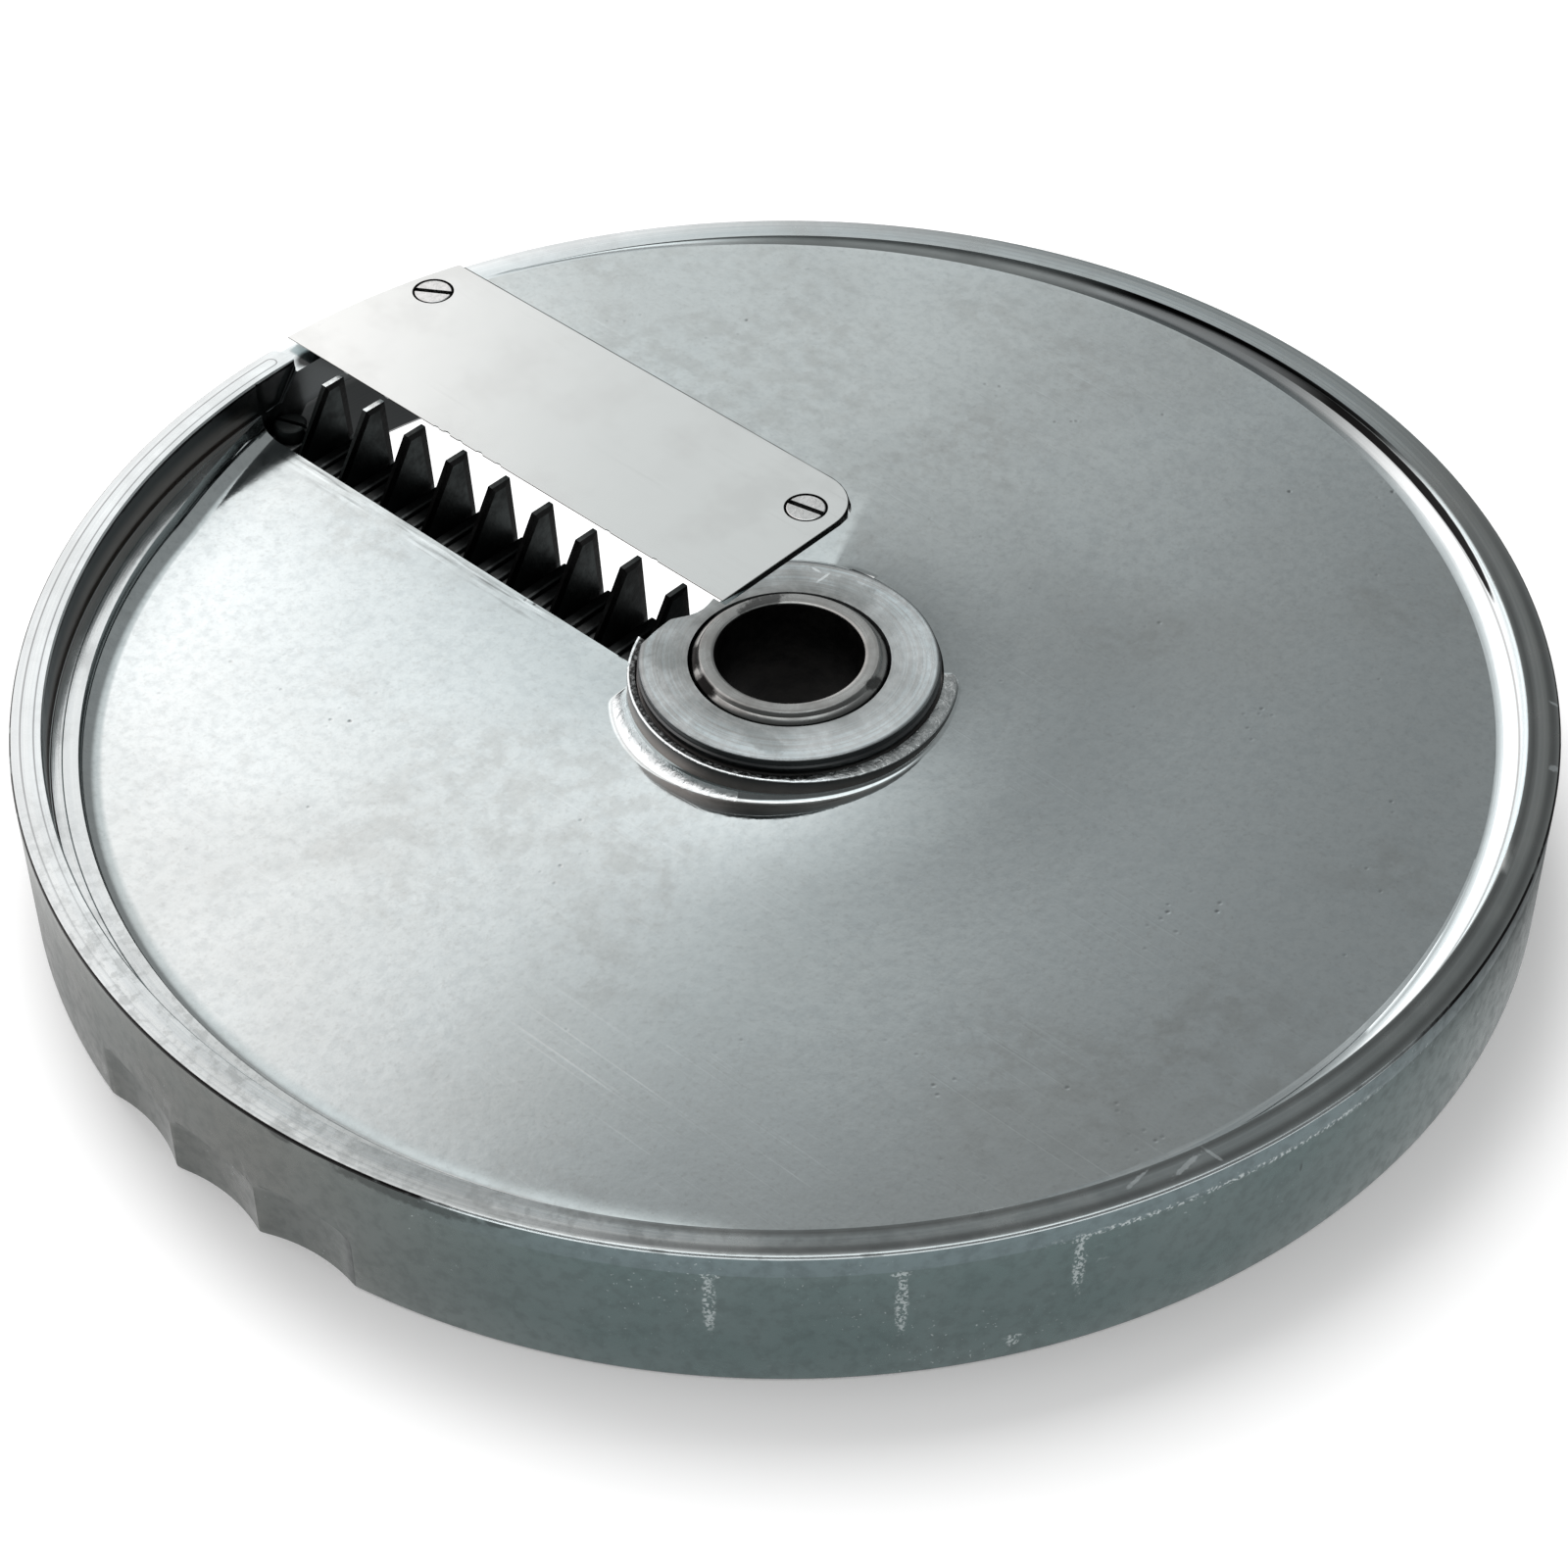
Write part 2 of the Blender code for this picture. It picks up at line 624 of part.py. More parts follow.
# A tooth is ground to an edge on both sides of its leaning front
def tooth_mesh():
    outline = tooth_outline()
    mesh = prism("comb_tooth", outline, "X", -TOOTH_THICKNESS / 2, TOOTH_THICKNESS / 2)
    bm = bmesh.new()
    bm.from_mesh(mesh)
    bpy.data.meshes.remove(mesh)
    low, high = outline[2], outline[3]

    def on_front(vert):
        return any(math.dist((vert.co.y, vert.co.z), point) < 1e-6 for point in (low, high))

    front = [edge for edge in bm.edges
             if all(on_front(vert) for vert in edge.verts)
             and abs(edge.verts[0].co.z - edge.verts[1].co.z) > 1e-6]
    bmesh.ops.bevel(bm, geom=front, offset=TOOTH_SHARPENING, segments=1, affect="EDGES")
    return mesh_from(bm, "comb_tooth")


def rod_hole_cutter(cutters):
    mesh = cylinder_mesh("rod_hole", ROD_HOLE, -LAST_TOOTH / 2 - TOOTH_PITCH,
                         LAST_TOOTH / 2 + TOOTH_PITCH, ROD_SIDES)
    cutter = make_cutter("rod_hole", mesh, cutters)
    cutter.rotation_euler = (0.0, math.radians(90.0), 0.0)
    cutter.location = ((FIRST_TOOTH + LAST_TOOTH) / 2, 0.0, ROD_LEVEL)
    return cutter


def make_comb_teeth(collection, hole, material):
    shared = tooth_mesh()
    shared.materials.append(material)
    for k in range(TOOTH_COUNT):
        tooth = bpy.data.objects.new("comb_tooth_" + str(k + 1), shared)
        collection.objects.link(tooth)
        tooth.location.x = FIRST_TOOTH + k * TOOTH_PITCH
        add_boolean(tooth, hole, "DIFFERENCE")


# Front view of a spacer: three tongues parted by shallow grooves
def spacer_outline():
    half = SPACER_WIDTH / 2
    tongue = (SPACER_WIDTH - (TONGUES - 1) * TONGUE_GROOVE) / TONGUES
    points = [(-half, COMB_BOTTOM), (half, COMB_BOTTOM)]
    for k in range(TONGUES):
        right = half - k * (tongue + TONGUE_GROOVE)
        left = right - tongue
        points.append((right, COMB_TOP - TONGUE_DEPTH))
        points.append((right, COMB_TOP - TONGUE_GROOVE))
        points.append((right - TONGUE_GROOVE, COMB_TOP))
        points.append((left + TONGUE_GROOVE, COMB_TOP))
        points.append((left, COMB_TOP - TONGUE_GROOVE))
        points.append((left, COMB_TOP - TONGUE_DEPTH))
    return points


def make_comb_spacers(collection, hole, material):
    shared = prism("comb_spacer", spacer_outline(), "Y", -COMB_REAR, COMB_FRONT)
    shared.materials.append(material)
    for k in range(TOOTH_COUNT - 1):
        spacer = bpy.data.objects.new("comb_spacer_" + str(k + 1), shared)
        collection.objects.link(spacer)
        spacer.location.x = FIRST_TOOTH + (k + 0.5) * TOOTH_PITCH
        add_boolean(spacer, hole, "DIFFERENCE")


# Block that ends the comb. The outer one is raised under the head of its screw.
def make_comb_block(collection, material, name, low, high, raised):
    outline = [(-COMB_REAR, COMB_BOTTOM), (COMB_FRONT, COMB_BOTTOM)]
    if raised:
        ramp = COMB_SCREW_Y - COMB_SCREW_HEAD_RADIUS - CLEARANCE
        outline += [(COMB_FRONT, BLOCK_TOP), (ramp, BLOCK_TOP), (ramp - BLOCK_RISE, COMB_TOP)]
    else:
        outline += [(COMB_FRONT, COMB_TOP)]
    outline += [(-COMB_REAR, COMB_TOP)]
    mesh = prism(name, outline, "X", low, high)
    return mesh_object(name, mesh, collection, material)


def make_comb_blocks(collection, cutters, hole, material):
    margin = TOOTH_THICKNESS / 2 + CLEARANCE
    inner = make_comb_block(collection, material, "comb_block_inner", SLOT_INNER + CLEARANCE,
                            FIRST_TOOTH - margin, False)
    add_boolean(inner, hole, "DIFFERENCE")
    outer = make_comb_block(collection, material, "comb_block_outer", LAST_TOOTH + margin,
                            BLOCK_OUTER_END, True)
    add_boolean(outer, hole, "DIFFERENCE")
    shank = upright_cylinder("comb_block_screw_hole", SCREW_SHANK_RADIUS + CLEARANCE,
                             COMB_SCREW_X, COMB_SCREW_Y, COMB_BOTTOM - EDGE_BREAK,
                             BLOCK_TOP + EDGE_BREAK, cutters)
    add_boolean(outer, shank, "DIFFERENCE")


def make_comb_rod(collection, material):
    low = SLOT_INNER + 2 * CLEARANCE
    high = BLOCK_OUTER_END - CLEARANCE
    half = (high - low) / 2
    mesh = cylinder_mesh("comb_rod", ROD_RADIUS, -half, half, ROD_SIDES)
    rod = mesh_object("comb_rod", mesh, collection, material)
    rod.rotation_euler = (0.0, math.radians(90.0), 0.0)
    rod.location = ((low + high) / 2, 0.0, ROD_LEVEL)
    shade(rod)
    return rod


def make_comb_screw(collection, cutters, material):
    seat = BLOCK_TOP + CLEARANCE
    top = seat + COMB_SCREW_HEAD_HEIGHT
    profile = [
        (0.0, top),
        (COMB_SCREW_HEAD_RADIUS - EDGE_BREAK, top),
        (COMB_SCREW_HEAD_RADIUS, top - EDGE_BREAK),
        (COMB_SCREW_HEAD_RADIUS, seat),
        (SCREW_SHANK_RADIUS, seat),
        (SCREW_SHANK_RADIUS, LUG_FLOOR + CLEARANCE),
        (0.0, LUG_FLOOR + CLEARANCE),
    ]
    screw = turned("comb_screw", profile, SCREW_SIDES, collection, material)
    screw.location = (COMB_SCREW_X, COMB_SCREW_Y, 0.0)
    slot = screw_slot_cutter(cutters, "comb_screw_slot", COMB_SCREW_HEAD_RADIUS + EDGE_BREAK,
                             COMB_SCREW_X, COMB_SCREW_Y, COMB_SCREW_TURN,
                             top - SCREW_SLOT_DEPTH, top + EDGE_BREAK)
    add_boolean(screw, slot, "DIFFERENCE")
    shade(screw)
    return screw


def build():
    clear_scene()
    collection = make_collection("julienne_disc")
    cutters = make_collection("cutters")
    materials = make_materials()
    make_disc_body(collection, cutters, materials["cast_aluminium"])
    make_hub_bush(collection, materials["turned_steel"])
    make_slicing_blade(collection, cutters, materials["brushed_steel"])
    for side in SCREW_PLACES:
        make_blade_screw(collection, cutters, materials["screw_steel"], side)
    hole = rod_hole_cutter(cutters)
    make_comb_teeth(collection, hole, materials["dark_steel"])
    make_comb_spacers(collection, hole, materials["dark_steel"])
    make_comb_blocks(collection, cutters, hole, materials["dark_steel"])
    make_comb_rod(collection, materials["dark_steel"])
    make_comb_screw(collection, cutters, materials["dark_steel"])


build()
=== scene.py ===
import math

import bpy
from mathutils import Matrix, Vector


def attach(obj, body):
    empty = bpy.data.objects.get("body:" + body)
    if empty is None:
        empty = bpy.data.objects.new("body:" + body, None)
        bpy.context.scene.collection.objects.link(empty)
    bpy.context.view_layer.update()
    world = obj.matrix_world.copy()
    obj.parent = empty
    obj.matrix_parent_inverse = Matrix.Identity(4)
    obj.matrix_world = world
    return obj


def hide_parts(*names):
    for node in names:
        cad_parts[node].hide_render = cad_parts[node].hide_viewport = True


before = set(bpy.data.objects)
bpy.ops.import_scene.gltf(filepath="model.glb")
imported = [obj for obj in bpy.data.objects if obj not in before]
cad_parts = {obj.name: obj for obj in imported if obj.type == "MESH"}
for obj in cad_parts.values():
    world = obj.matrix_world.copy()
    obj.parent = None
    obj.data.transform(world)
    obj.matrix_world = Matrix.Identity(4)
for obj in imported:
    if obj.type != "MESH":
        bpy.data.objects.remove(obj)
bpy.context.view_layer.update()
mm = 0.001
print("julienne disc: frame loaded")


def pick(piece):
    bpy.ops.object.select_all(action='DESELECT')
    piece.select_set(True)
    bpy.context.view_layer.objects.active = piece


# Puts a piece's place into its mesh and names it
def settle(piece, name):
    pick(piece)
    bpy.ops.object.transform_apply(location=True, rotation=True, scale=True)
    piece.name = name
    piece.data.name = name
    return piece


def newPiece(name, points, edges, faces):
    mesh = bpy.data.meshes.new(name)
    mesh.from_pydata(points, edges, faces)
    piece = bpy.data.objects.new(name, mesh)
    bpy.context.collection.objects.link(piece)
    return piece


# Edit mode on one piece, all of it selected or nothing
def openMesh(piece, action, kind='FACE'):
    pick(piece)
    bpy.ops.object.mode_set(mode='EDIT')
    bpy.ops.mesh.select_mode(type=kind)
    bpy.ops.mesh.select_all(action=action)


def closeMesh():
    bpy.ops.object.mode_set(mode='OBJECT')


# Merges points that meet, turns the normals outwards and leaves edit mode
def closeShape(merge=0.0):
    bpy.ops.mesh.select_all(action='SELECT')
    if merge:
        bpy.ops.mesh.remove_doubles(threshold=merge)
    bpy.ops.mesh.normals_make_consistent(inside=False)
    closeMesh()


# Selects faces or edges by a test, from edit mode and back into it
def selectWhere(piece, test, kind='polygons'):
    bpy.ops.object.mode_set(mode='OBJECT')
    for item in getattr(piece.data, kind):
        item.select = test(item)
    bpy.ops.object.mode_set(mode='EDIT')


# Both ends of an edge in mm
def edgeEnds(piece, edge):
    return [piece.data.vertices[k].co / mm for k in edge.vertices]


# Boolean with one cutter, applied, cutter removed
def cut(piece, cutter, operation='DIFFERENCE'):
    pick(piece)
    tool = piece.modifiers.new("cut", 'BOOLEAN')
    tool.operation = operation
    tool.solver = 'EXACT'
    tool.object = cutter
    bpy.ops.object.modifier_apply(modifier=tool.name)
    bpy.data.objects.remove(cutter, do_unlink=True)


def boxAt(low, high):
    middle = [(a + b) / 2 * mm for a, b in zip(low, high)]
    bpy.ops.mesh.primitive_cube_add(size=1, location=middle)
    piece = bpy.context.object
    piece.scale = [(b - a) * mm for a, b in zip(low, high)]
    return settle(piece, "block")


def rodAt(x, y, low, high, radius, sides=48):
    bpy.ops.mesh.primitive_cylinder_add(vertices=sides, radius=radius * mm, depth=(high - low) * mm,
                                        location=(x * mm, y * mm, (low + high) / 2 * mm))
    return settle(bpy.context.object, "rod")


# A box through a screw's head, turned to where its slot points
def slotAt(x, y, turn, length, width, low, high):
    slot = boxAt((-length / 2, -width / 2, low), (length / 2, width / 2, high))
    slot.rotation_euler.z = math.radians(turn)
    slot.location = (x * mm, y * mm, 0)
    return settle(slot, "slot")


# Keeps the side of a plane that its normal points away from
def trim(piece, point, normal):
    openMesh(piece, 'SELECT')
    bpy.ops.mesh.bisect(plane_co=Vector(point) * mm, plane_no=normal, use_fill=True, clear_outer=True)
    closeMesh()


# A closed outline drawn flat, then pulled out along one axis
def drawn(name, outline, axis, low, high):
    spread = {'Y': lambda a, b: (a, low, b), 'Z': lambda a, b: (a, b, low)}[axis]
    points = [Vector(spread(a, b)) * mm for a, b in outline]
    piece = newPiece(name, points, [], [list(range(len(points)))])
    openMesh(piece, 'SELECT')
    move = Vector([(high - low) * mm if axis == way else 0 for way in 'XYZ'])
    bpy.ops.mesh.extrude_region_move(TRANSFORM_OT_translate={"value": move})
    closeShape()
    return piece


# A turned solid: the profile is drawn beside the axis and spun once round
def spun(name, profile, steps, centre=(0, 0)):
    closed = profile[0][0] > 0
    count = len(profile)
    edges = [(k, (k + 1) % count) for k in range(count if closed else count - 1)]
    piece = newPiece(name, [((centre[0] + r) * mm, centre[1] * mm, z * mm) for r, z in profile], edges, [])
    openMesh(piece, 'SELECT', 'EDGE')
    bpy.ops.mesh.spin(steps=steps, angle=math.tau, center=(centre[0] * mm, centre[1] * mm, 0), axis=(0, 0, 1))
    closeShape(0.000002)
    return piece


def bevelWhere(piece, test, width, segments=2):
    openMesh(piece, 'DESELECT', 'EDGE')
    selectWhere(piece, test, 'edges')
    bpy.ops.mesh.bevel(offset=width * mm, segments=segments, affect='EDGES')
    closeMesh()


def smooth(piece, angle):
    pick(piece)
    bpy.ops.object.shade_smooth_by_angle(angle=math.radians(angle))


# What every finished piece needs: its name, the node that it replaces, its materials
def finishPiece(piece, slot, node, *materials, name=None):
    settle(piece, (name or node) + "_piece")
    piece.data.materials.clear()
    for material in materials:
        piece.data.materials.append(material)
    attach(piece, "root")
    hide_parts(node)


# Gives faces another of the piece's materials, by a test on centre and normal in mm
def dress(piece, index, test):
    for face in piece.data.polygons:
        if test(face.center / mm, face.normal):
            face.material_index = index


def newTree(name):
    material = bpy.data.materials.new(name)
    material.use_nodes = True
    return material, material.node_tree


def addNode(tree, kind, **settings):
    node = tree.nodes.new("ShaderNode" + kind)
    for key, value in settings.items():
        setattr(node, key, value)
    return node


def plug(tree, socket, value):
    if isinstance(value, bpy.types.NodeSocket):
        tree.links.new(value, socket)
    else:
        socket.default_value = value


def maths(tree, operation, a, b=0.0):
    node = addNode(tree, "Math", operation=operation)
    plug(tree, node.inputs[0], a)
    plug(tree, node.inputs[1], b)
    return node.outputs[0]


def times(tree, first, *others):
    for other in others:
        first = maths(tree, 'MULTIPLY', first, other)
    return first


def plus(tree, first, *others):
    for other in others:
        first = maths(tree, 'ADD', first, other)
    return first


def larger(tree, first, second):
    return maths(tree, 'MAXIMUM', first, second)


# Smooth step of a value between two levels, to an output between two others
def ramp(tree, value, low, high, outLow=0.0, outHigh=1.0):
    node = addNode(tree, "MapRange", interpolation_type='SMOOTHSTEP')
    for socket, item in zip(node.inputs, (value, low, high, outLow, outHigh)):
        plug(tree, socket, item)
    return node.outputs[0]


def fade(tree, value, low, high):
    return ramp(tree, value, low, high, 1.0, 0.0)


# One between two levels, with a smooth rise before them and a smooth fall after them
def window(tree, value, low, begin, end, high):
    return times(tree, ramp(tree, value, low, begin), fade(tree, value, end, high))


def blendColour(tree, mask, first, second):
    node = addNode(tree, "Mix", data_type='RGBA')
    for index, item in ((0, mask), (6, first), (7, second)):
        plug(tree, node.inputs[index], item)
    return node.outputs[2]


def dot(tree, vector, way):
    node = addNode(tree, "VectorMath", operation='DOT_PRODUCT')
    plug(tree, node.inputs[0], vector)
    node.inputs[1].default_value = way
    return node.outputs["Value"]


# A node group with its inputs and one output; fill(tree, inputs) draws what is inside
def newGroup(name, output, fill, **inputs):
    group = bpy.data.node_groups.new(name, "ShaderNodeTree")
    for label, start in inputs.items():
        kind = 'NodeSocketVector' if isinstance(start, tuple) else 'NodeSocketFloat'
        socket = group.interface.new_socket(name=label, in_out='INPUT', socket_type=kind)
        socket.default_value = start
    group.interface.new_socket(name=output, in_out='OUTPUT', socket_type='NodeSocketFloat')
    begin = group.nodes.new("NodeGroupInput")
    end = group.nodes.new("NodeGroupOutput")
    group.links.new(fill(group, begin.outputs), end.inputs[0])
    return group


# Places a group in a material with its own values
def place(tree, group, **values):
    node = tree.nodes.new("ShaderNodeGroup")
    node.node_tree = group
    for label, value in values.items():
        plug(tree, node.inputs[label], value)
    return node.outputs[0]


def objectPoint(tree):
    return addNode(tree, "TexCoord").outputs["Object"]


def axes(tree):
    parts = addNode(tree, "SeparateXYZ")
    plug(tree, parts.inputs[0], objectPoint(tree))
    return parts.outputs[0], parts.outputs[1], parts.outputs[2]


def noise(tree, scale, detail=3.0, roughness=0.55, point=None):
    node = addNode(tree, "TexNoise")
    plug(tree, node.inputs["Vector"], point or objectPoint(tree))
    plug(tree, node.inputs["Scale"], scale)
    plug(tree, node.inputs["Detail"], detail)
    plug(tree, node.inputs["Roughness"], roughness)
    return node.outputs[0]


# Distance from the disc's axis, turn round it from -55 to 305 degrees, and height, all in mm
def polar(tree):
    x, y, z = axes(tree)
    radius = maths(tree, 'DIVIDE', maths(tree, 'SQRT', plus(tree, times(tree, x, x), times(tree, y, y))), mm)
    angle = times(tree, maths(tree, 'ARCTAN2', y, x), math.degrees(1))
    angle = plus(tree, angle, times(tree, maths(tree, 'LESS_THAN', angle, -55.0), 360.0))
    return radius, angle, maths(tree, 'DIVIDE', z, mm)


# Cloudy patches: 0 to 1, even between the two levels
def fillMottle(tree, inputs):
    return ramp(tree, noise(tree, inputs["Scale"], 5.0, 0.6), inputs["Low"], inputs["High"])


# Small dark pits, few and scattered
def fillPits(tree, inputs):
    cells = addNode(tree, "TexVoronoi", feature='F1')
    plug(tree, cells.inputs["Vector"], objectPoint(tree))
    plug(tree, cells.inputs["Scale"], inputs["Scale"])
    pit = fade(tree, cells.outputs["Distance"], 0.0, inputs["Size"])
    return times(tree, pit, ramp(tree, noise(tree, 90.0, 2.0), inputs["Spread"], 0.75))


# Fine straight scratches that run one way and come and go
def fillScratches(tree, inputs):
    turn = addNode(tree, "Mapping")
    plug(tree, turn.inputs["Vector"], objectPoint(tree))
    plug(tree, turn.inputs["Rotation"], inputs["Turn"])
    plug(tree, turn.inputs["Scale"], inputs["Stretch"])
    lines = ramp(tree, noise(tree, 1.0, 2.0, 0.5, turn.outputs[0]), inputs["Level"], 0.86)
    return times(tree, lines, ramp(tree, noise(tree, 45.0, 2.0), 0.45, 0.65))


# Rings left by the lathe: a line for every small step of radius
def fillRings(tree, inputs):
    radius, angle, level = polar(tree)
    track = addNode(tree, "CombineXYZ")
    plug(tree, track.inputs[0], times(tree, radius, inputs["Pitch"]))
    plug(tree, track.inputs[1], times(tree, level, inputs["Pitch"]))
    plug(tree, track.inputs[2], maths(tree, 'COSINE', times(tree, angle, math.radians(1))))
    return noise(tree, 1.0, 3.0, 0.6, track.outputs[0])


# A thin band round the axis at one radius
def fillBand(tree, inputs):
    away = maths(tree, 'ABSOLUTE', maths(tree, 'SUBTRACT', polar(tree)[0], inputs["Radius"]))
    return fade(tree, away, 0.0, inputs["Width"])


# A scuff or stain round one point, with a ragged outline. Reach is its half size in each way.
def fillSpot(tree, inputs):
    away = addNode(tree, "VectorMath", operation='SUBTRACT')
    plug(tree, away.inputs[0], objectPoint(tree))
    plug(tree, away.inputs[1], inputs["Centre"])
    share = addNode(tree, "VectorMath", operation='DIVIDE')
    plug(tree, share.inputs[0], away.outputs[0])
    plug(tree, share.inputs[1], inputs["Reach"])
    size = addNode(tree, "VectorMath", operation='LENGTH')
    plug(tree, size.inputs[0], share.outputs[0])
    grain = maths(tree, 'SUBTRACT', noise(tree, inputs["Grain"], 4.0, 0.65), 0.5)
    return fade(tree, plus(tree, size.outputs["Value"], times(tree, grain, inputs["Ragged"])), 0.55, 1.0)


mottle = newGroup("mottle", "Mask", fillMottle, Scale=60.0, Low=0.4, High=0.65)
pits = newGroup("pits", "Mask", fillPits, Scale=600.0, Size=0.2, Spread=0.55)
scratches = newGroup("scratches", "Mask", fillScratches, Turn=(0, 0, 0), Stretch=(30, 4000, 30), Level=0.68)
rings = newGroup("latheRings", "Height", fillRings, Pitch=3.0)
band = newGroup("bandAtRadius", "Mask", fillBand, Radius=90.0, Width=0.3)
spot = newGroup("spot", "Mask", fillSpot, Centre=(0, 0, 0), Reach=(0.003, 0.003, 0.003), Grain=900.0,
                Ragged=1.2)


def patches(tree, scale, low, high):
    return place(tree, mottle, Scale=scale, Low=low, High=high)


def scratched(tree, turn, stretch, level):
    return place(tree, scratches, Turn=(0, 0, turn), Stretch=stretch, Level=level)


def bandAt(tree, radius, width):
    return place(tree, band, Radius=radius, Width=width)


# Several spots joined into one mask: x, y and z of each, then its reach, all in mm
def spots(tree, places, grain, ragged):
    total = None
    for x, y, z, reach in places:
        mask = place(tree, spot, Centre=(x * mm, y * mm, z * mm), Reach=tuple(r * mm for r in reach),
                     Grain=grain, Ragged=ragged)
        total = mask if total is None else larger(tree, total, mask)
    return total


# Base colours of the finishes
finish = {
    "plate": (0.605, 0.67, 0.68), "plateDull": (0.47, 0.53, 0.545), "plateDark": (0.12, 0.13, 0.135),
    "plateWarm": (0.47, 0.49, 0.475), "smudge": (0.34, 0.35, 0.335),
    "land": (0.55, 0.61, 0.615), "landDull": (0.25, 0.28, 0.28), "landShade": (0.13, 0.14, 0.14),
    "landWarmShade": (0.275, 0.275, 0.26), "coveShade": (0.085, 0.098, 0.102), "ledge": (0.40, 0.43, 0.43),
    "wall": (0.10, 0.108, 0.112), "wallBrown": (0.36, 0.325, 0.305), "edgeDark": (0.02, 0.02, 0.02),
    "white": (0.88, 0.965, 0.985), "bareAndHighlight": (0.84, 0.92, 0.935),
    "hub": (0.57, 0.675, 0.705), "hubBrown": (0.19, 0.205, 0.20), "ring": (0.50, 0.54, 0.545),
    "skirt": (0.135, 0.182, 0.182), "skirtWarm": (0.20, 0.205, 0.195), "skirtTop": (0.20, 0.255, 0.27),
    "skirtPale": (0.26, 0.30, 0.30), "skirtDark": (0.05, 0.06, 0.06),
    "under": (0.33, 0.35, 0.355), "underDark": (0.20, 0.21, 0.215),
    "bush": (0.37, 0.39, 0.385), "bushDark": (0.15, 0.148, 0.14),
    "bore": (0.010, 0.010, 0.010), "boreDull": (0.022, 0.021, 0.02),
    "blade": (0.62, 0.65, 0.645), "bladeDull": (0.55, 0.575, 0.57), "screw": (0.62, 0.64, 0.64),
    "tooth": (0.05, 0.058, 0.058), "toothDull": (0.03, 0.034, 0.034),
    "ground": (0.004, 0.004, 0.004), "groundDull": (0.010, 0.011, 0.011),
    "comb": (0.10, 0.108, 0.108), "combShade": (0.012, 0.013, 0.013),
}


# One finish colour with others laid over it, each where its mask is and by its share
def coats(tree, first, *layers):
    colour = (*finish[first], 1.0)
    for mask, name, share in layers:
        if share < 1:
            mask = times(tree, mask, share)
        colour = blendColour(tree, mask, colour, (*finish[name], 1.0))
    return colour


# A metal from its colour, its roughness and a height that the bump reaches in mm
def metal(material, colour, rough, height, depth):
    tree = material.node_tree
    shader = tree.nodes["Principled BSDF"]
    shader.inputs["Metallic"].default_value = 1.0
    plug(tree, shader.inputs["Base Color"], colour)
    plug(tree, shader.inputs["Roughness"], rough)
    bump = addNode(tree, "Bump")
    plug(tree, bump.inputs["Height"], height)
    bump.inputs["Distance"].default_value = depth * mm
    tree.links.new(bump.outputs[0], shader.inputs["Normal"])
    return material


# Smooth cast and coated plate: cloudy, a few pits and stains
def makePlateMetal():
    material, tree = newTree("castPlate")
    radius = polar(tree)[0]
    x, y, z = axes(tree)
    cloud = patches(tree, 45.0, 0.42, 0.66)
    fine = patches(tree, 650.0, 0.40, 0.70)
    smudge = times(tree, patches(tree, 26.0, 0.50, 0.64), patches(tree, 300.0, 0.38, 0.62))
    # long faint scratches that cross each other
    hair = larger(tree, scratched(tree, 0.75, (14, 2200, 14), 0.60),
                  scratched(tree, -0.35, (18, 2600, 18), 0.62))
    pit = place(tree, pits, Scale=520.0, Size=0.22, Spread=0.58)
    # the lip before the slot is scuffed by what is cut there
    lip = times(tree, window(tree, y, 6.5 * mm, 7.2 * mm, 8.4 * mm, 11.6 * mm),
                ramp(tree, x, 18 * mm, 24 * mm))
    rub = scratched(tree, 0.05, (110, 1500, 90), 0.40)
    mark = scratched(tree, -0.04, (130, 1300, 70), 0.44)
    # the notch floor before the blade's outer end is made darker
    notch = times(tree, fade(tree, z, 19.72 * mm, 19.8 * mm), ramp(tree, x, 84 * mm, 86 * mm),
                  window(tree, y, -3 * mm, -2.5 * mm, 2.2 * mm, 2.6 * mm))
    colour = coats(tree, "plate", (cloud, "plateDull", 0.22), (fine, "plateDull", 0.5),
                   (patches(tree, 10.0, 0.42, 0.62), "plateWarm", 0.3), (smudge, "smudge", 0.30),
                   (patches(tree, 1500.0, 0.50, 0.72), "smudge", 0.22), (hair, "bareAndHighlight", 0.22),
                   (pit, "plateDark", 0.8), (times(tree, lip, rub), "bareAndHighlight", 1),
                   (times(tree, lip, mark), "edgeDark", 1), (notch, "wall", 0.85))
    rough = plus(tree, times(tree, cloud, 0.04), times(tree, fine, 0.04),
                 ramp(tree, radius, 24.0, 36.0, 0.04, 0.085))
    height = plus(tree, times(tree, noise(tree, 900.0), 0.22), times(tree, pit, -1.0),
                  times(tree, hair, -0.3), times(tree, noise(tree, 210.0, 4.0), 0.26))
    return metal(material, colour, rough, height, 0.025)


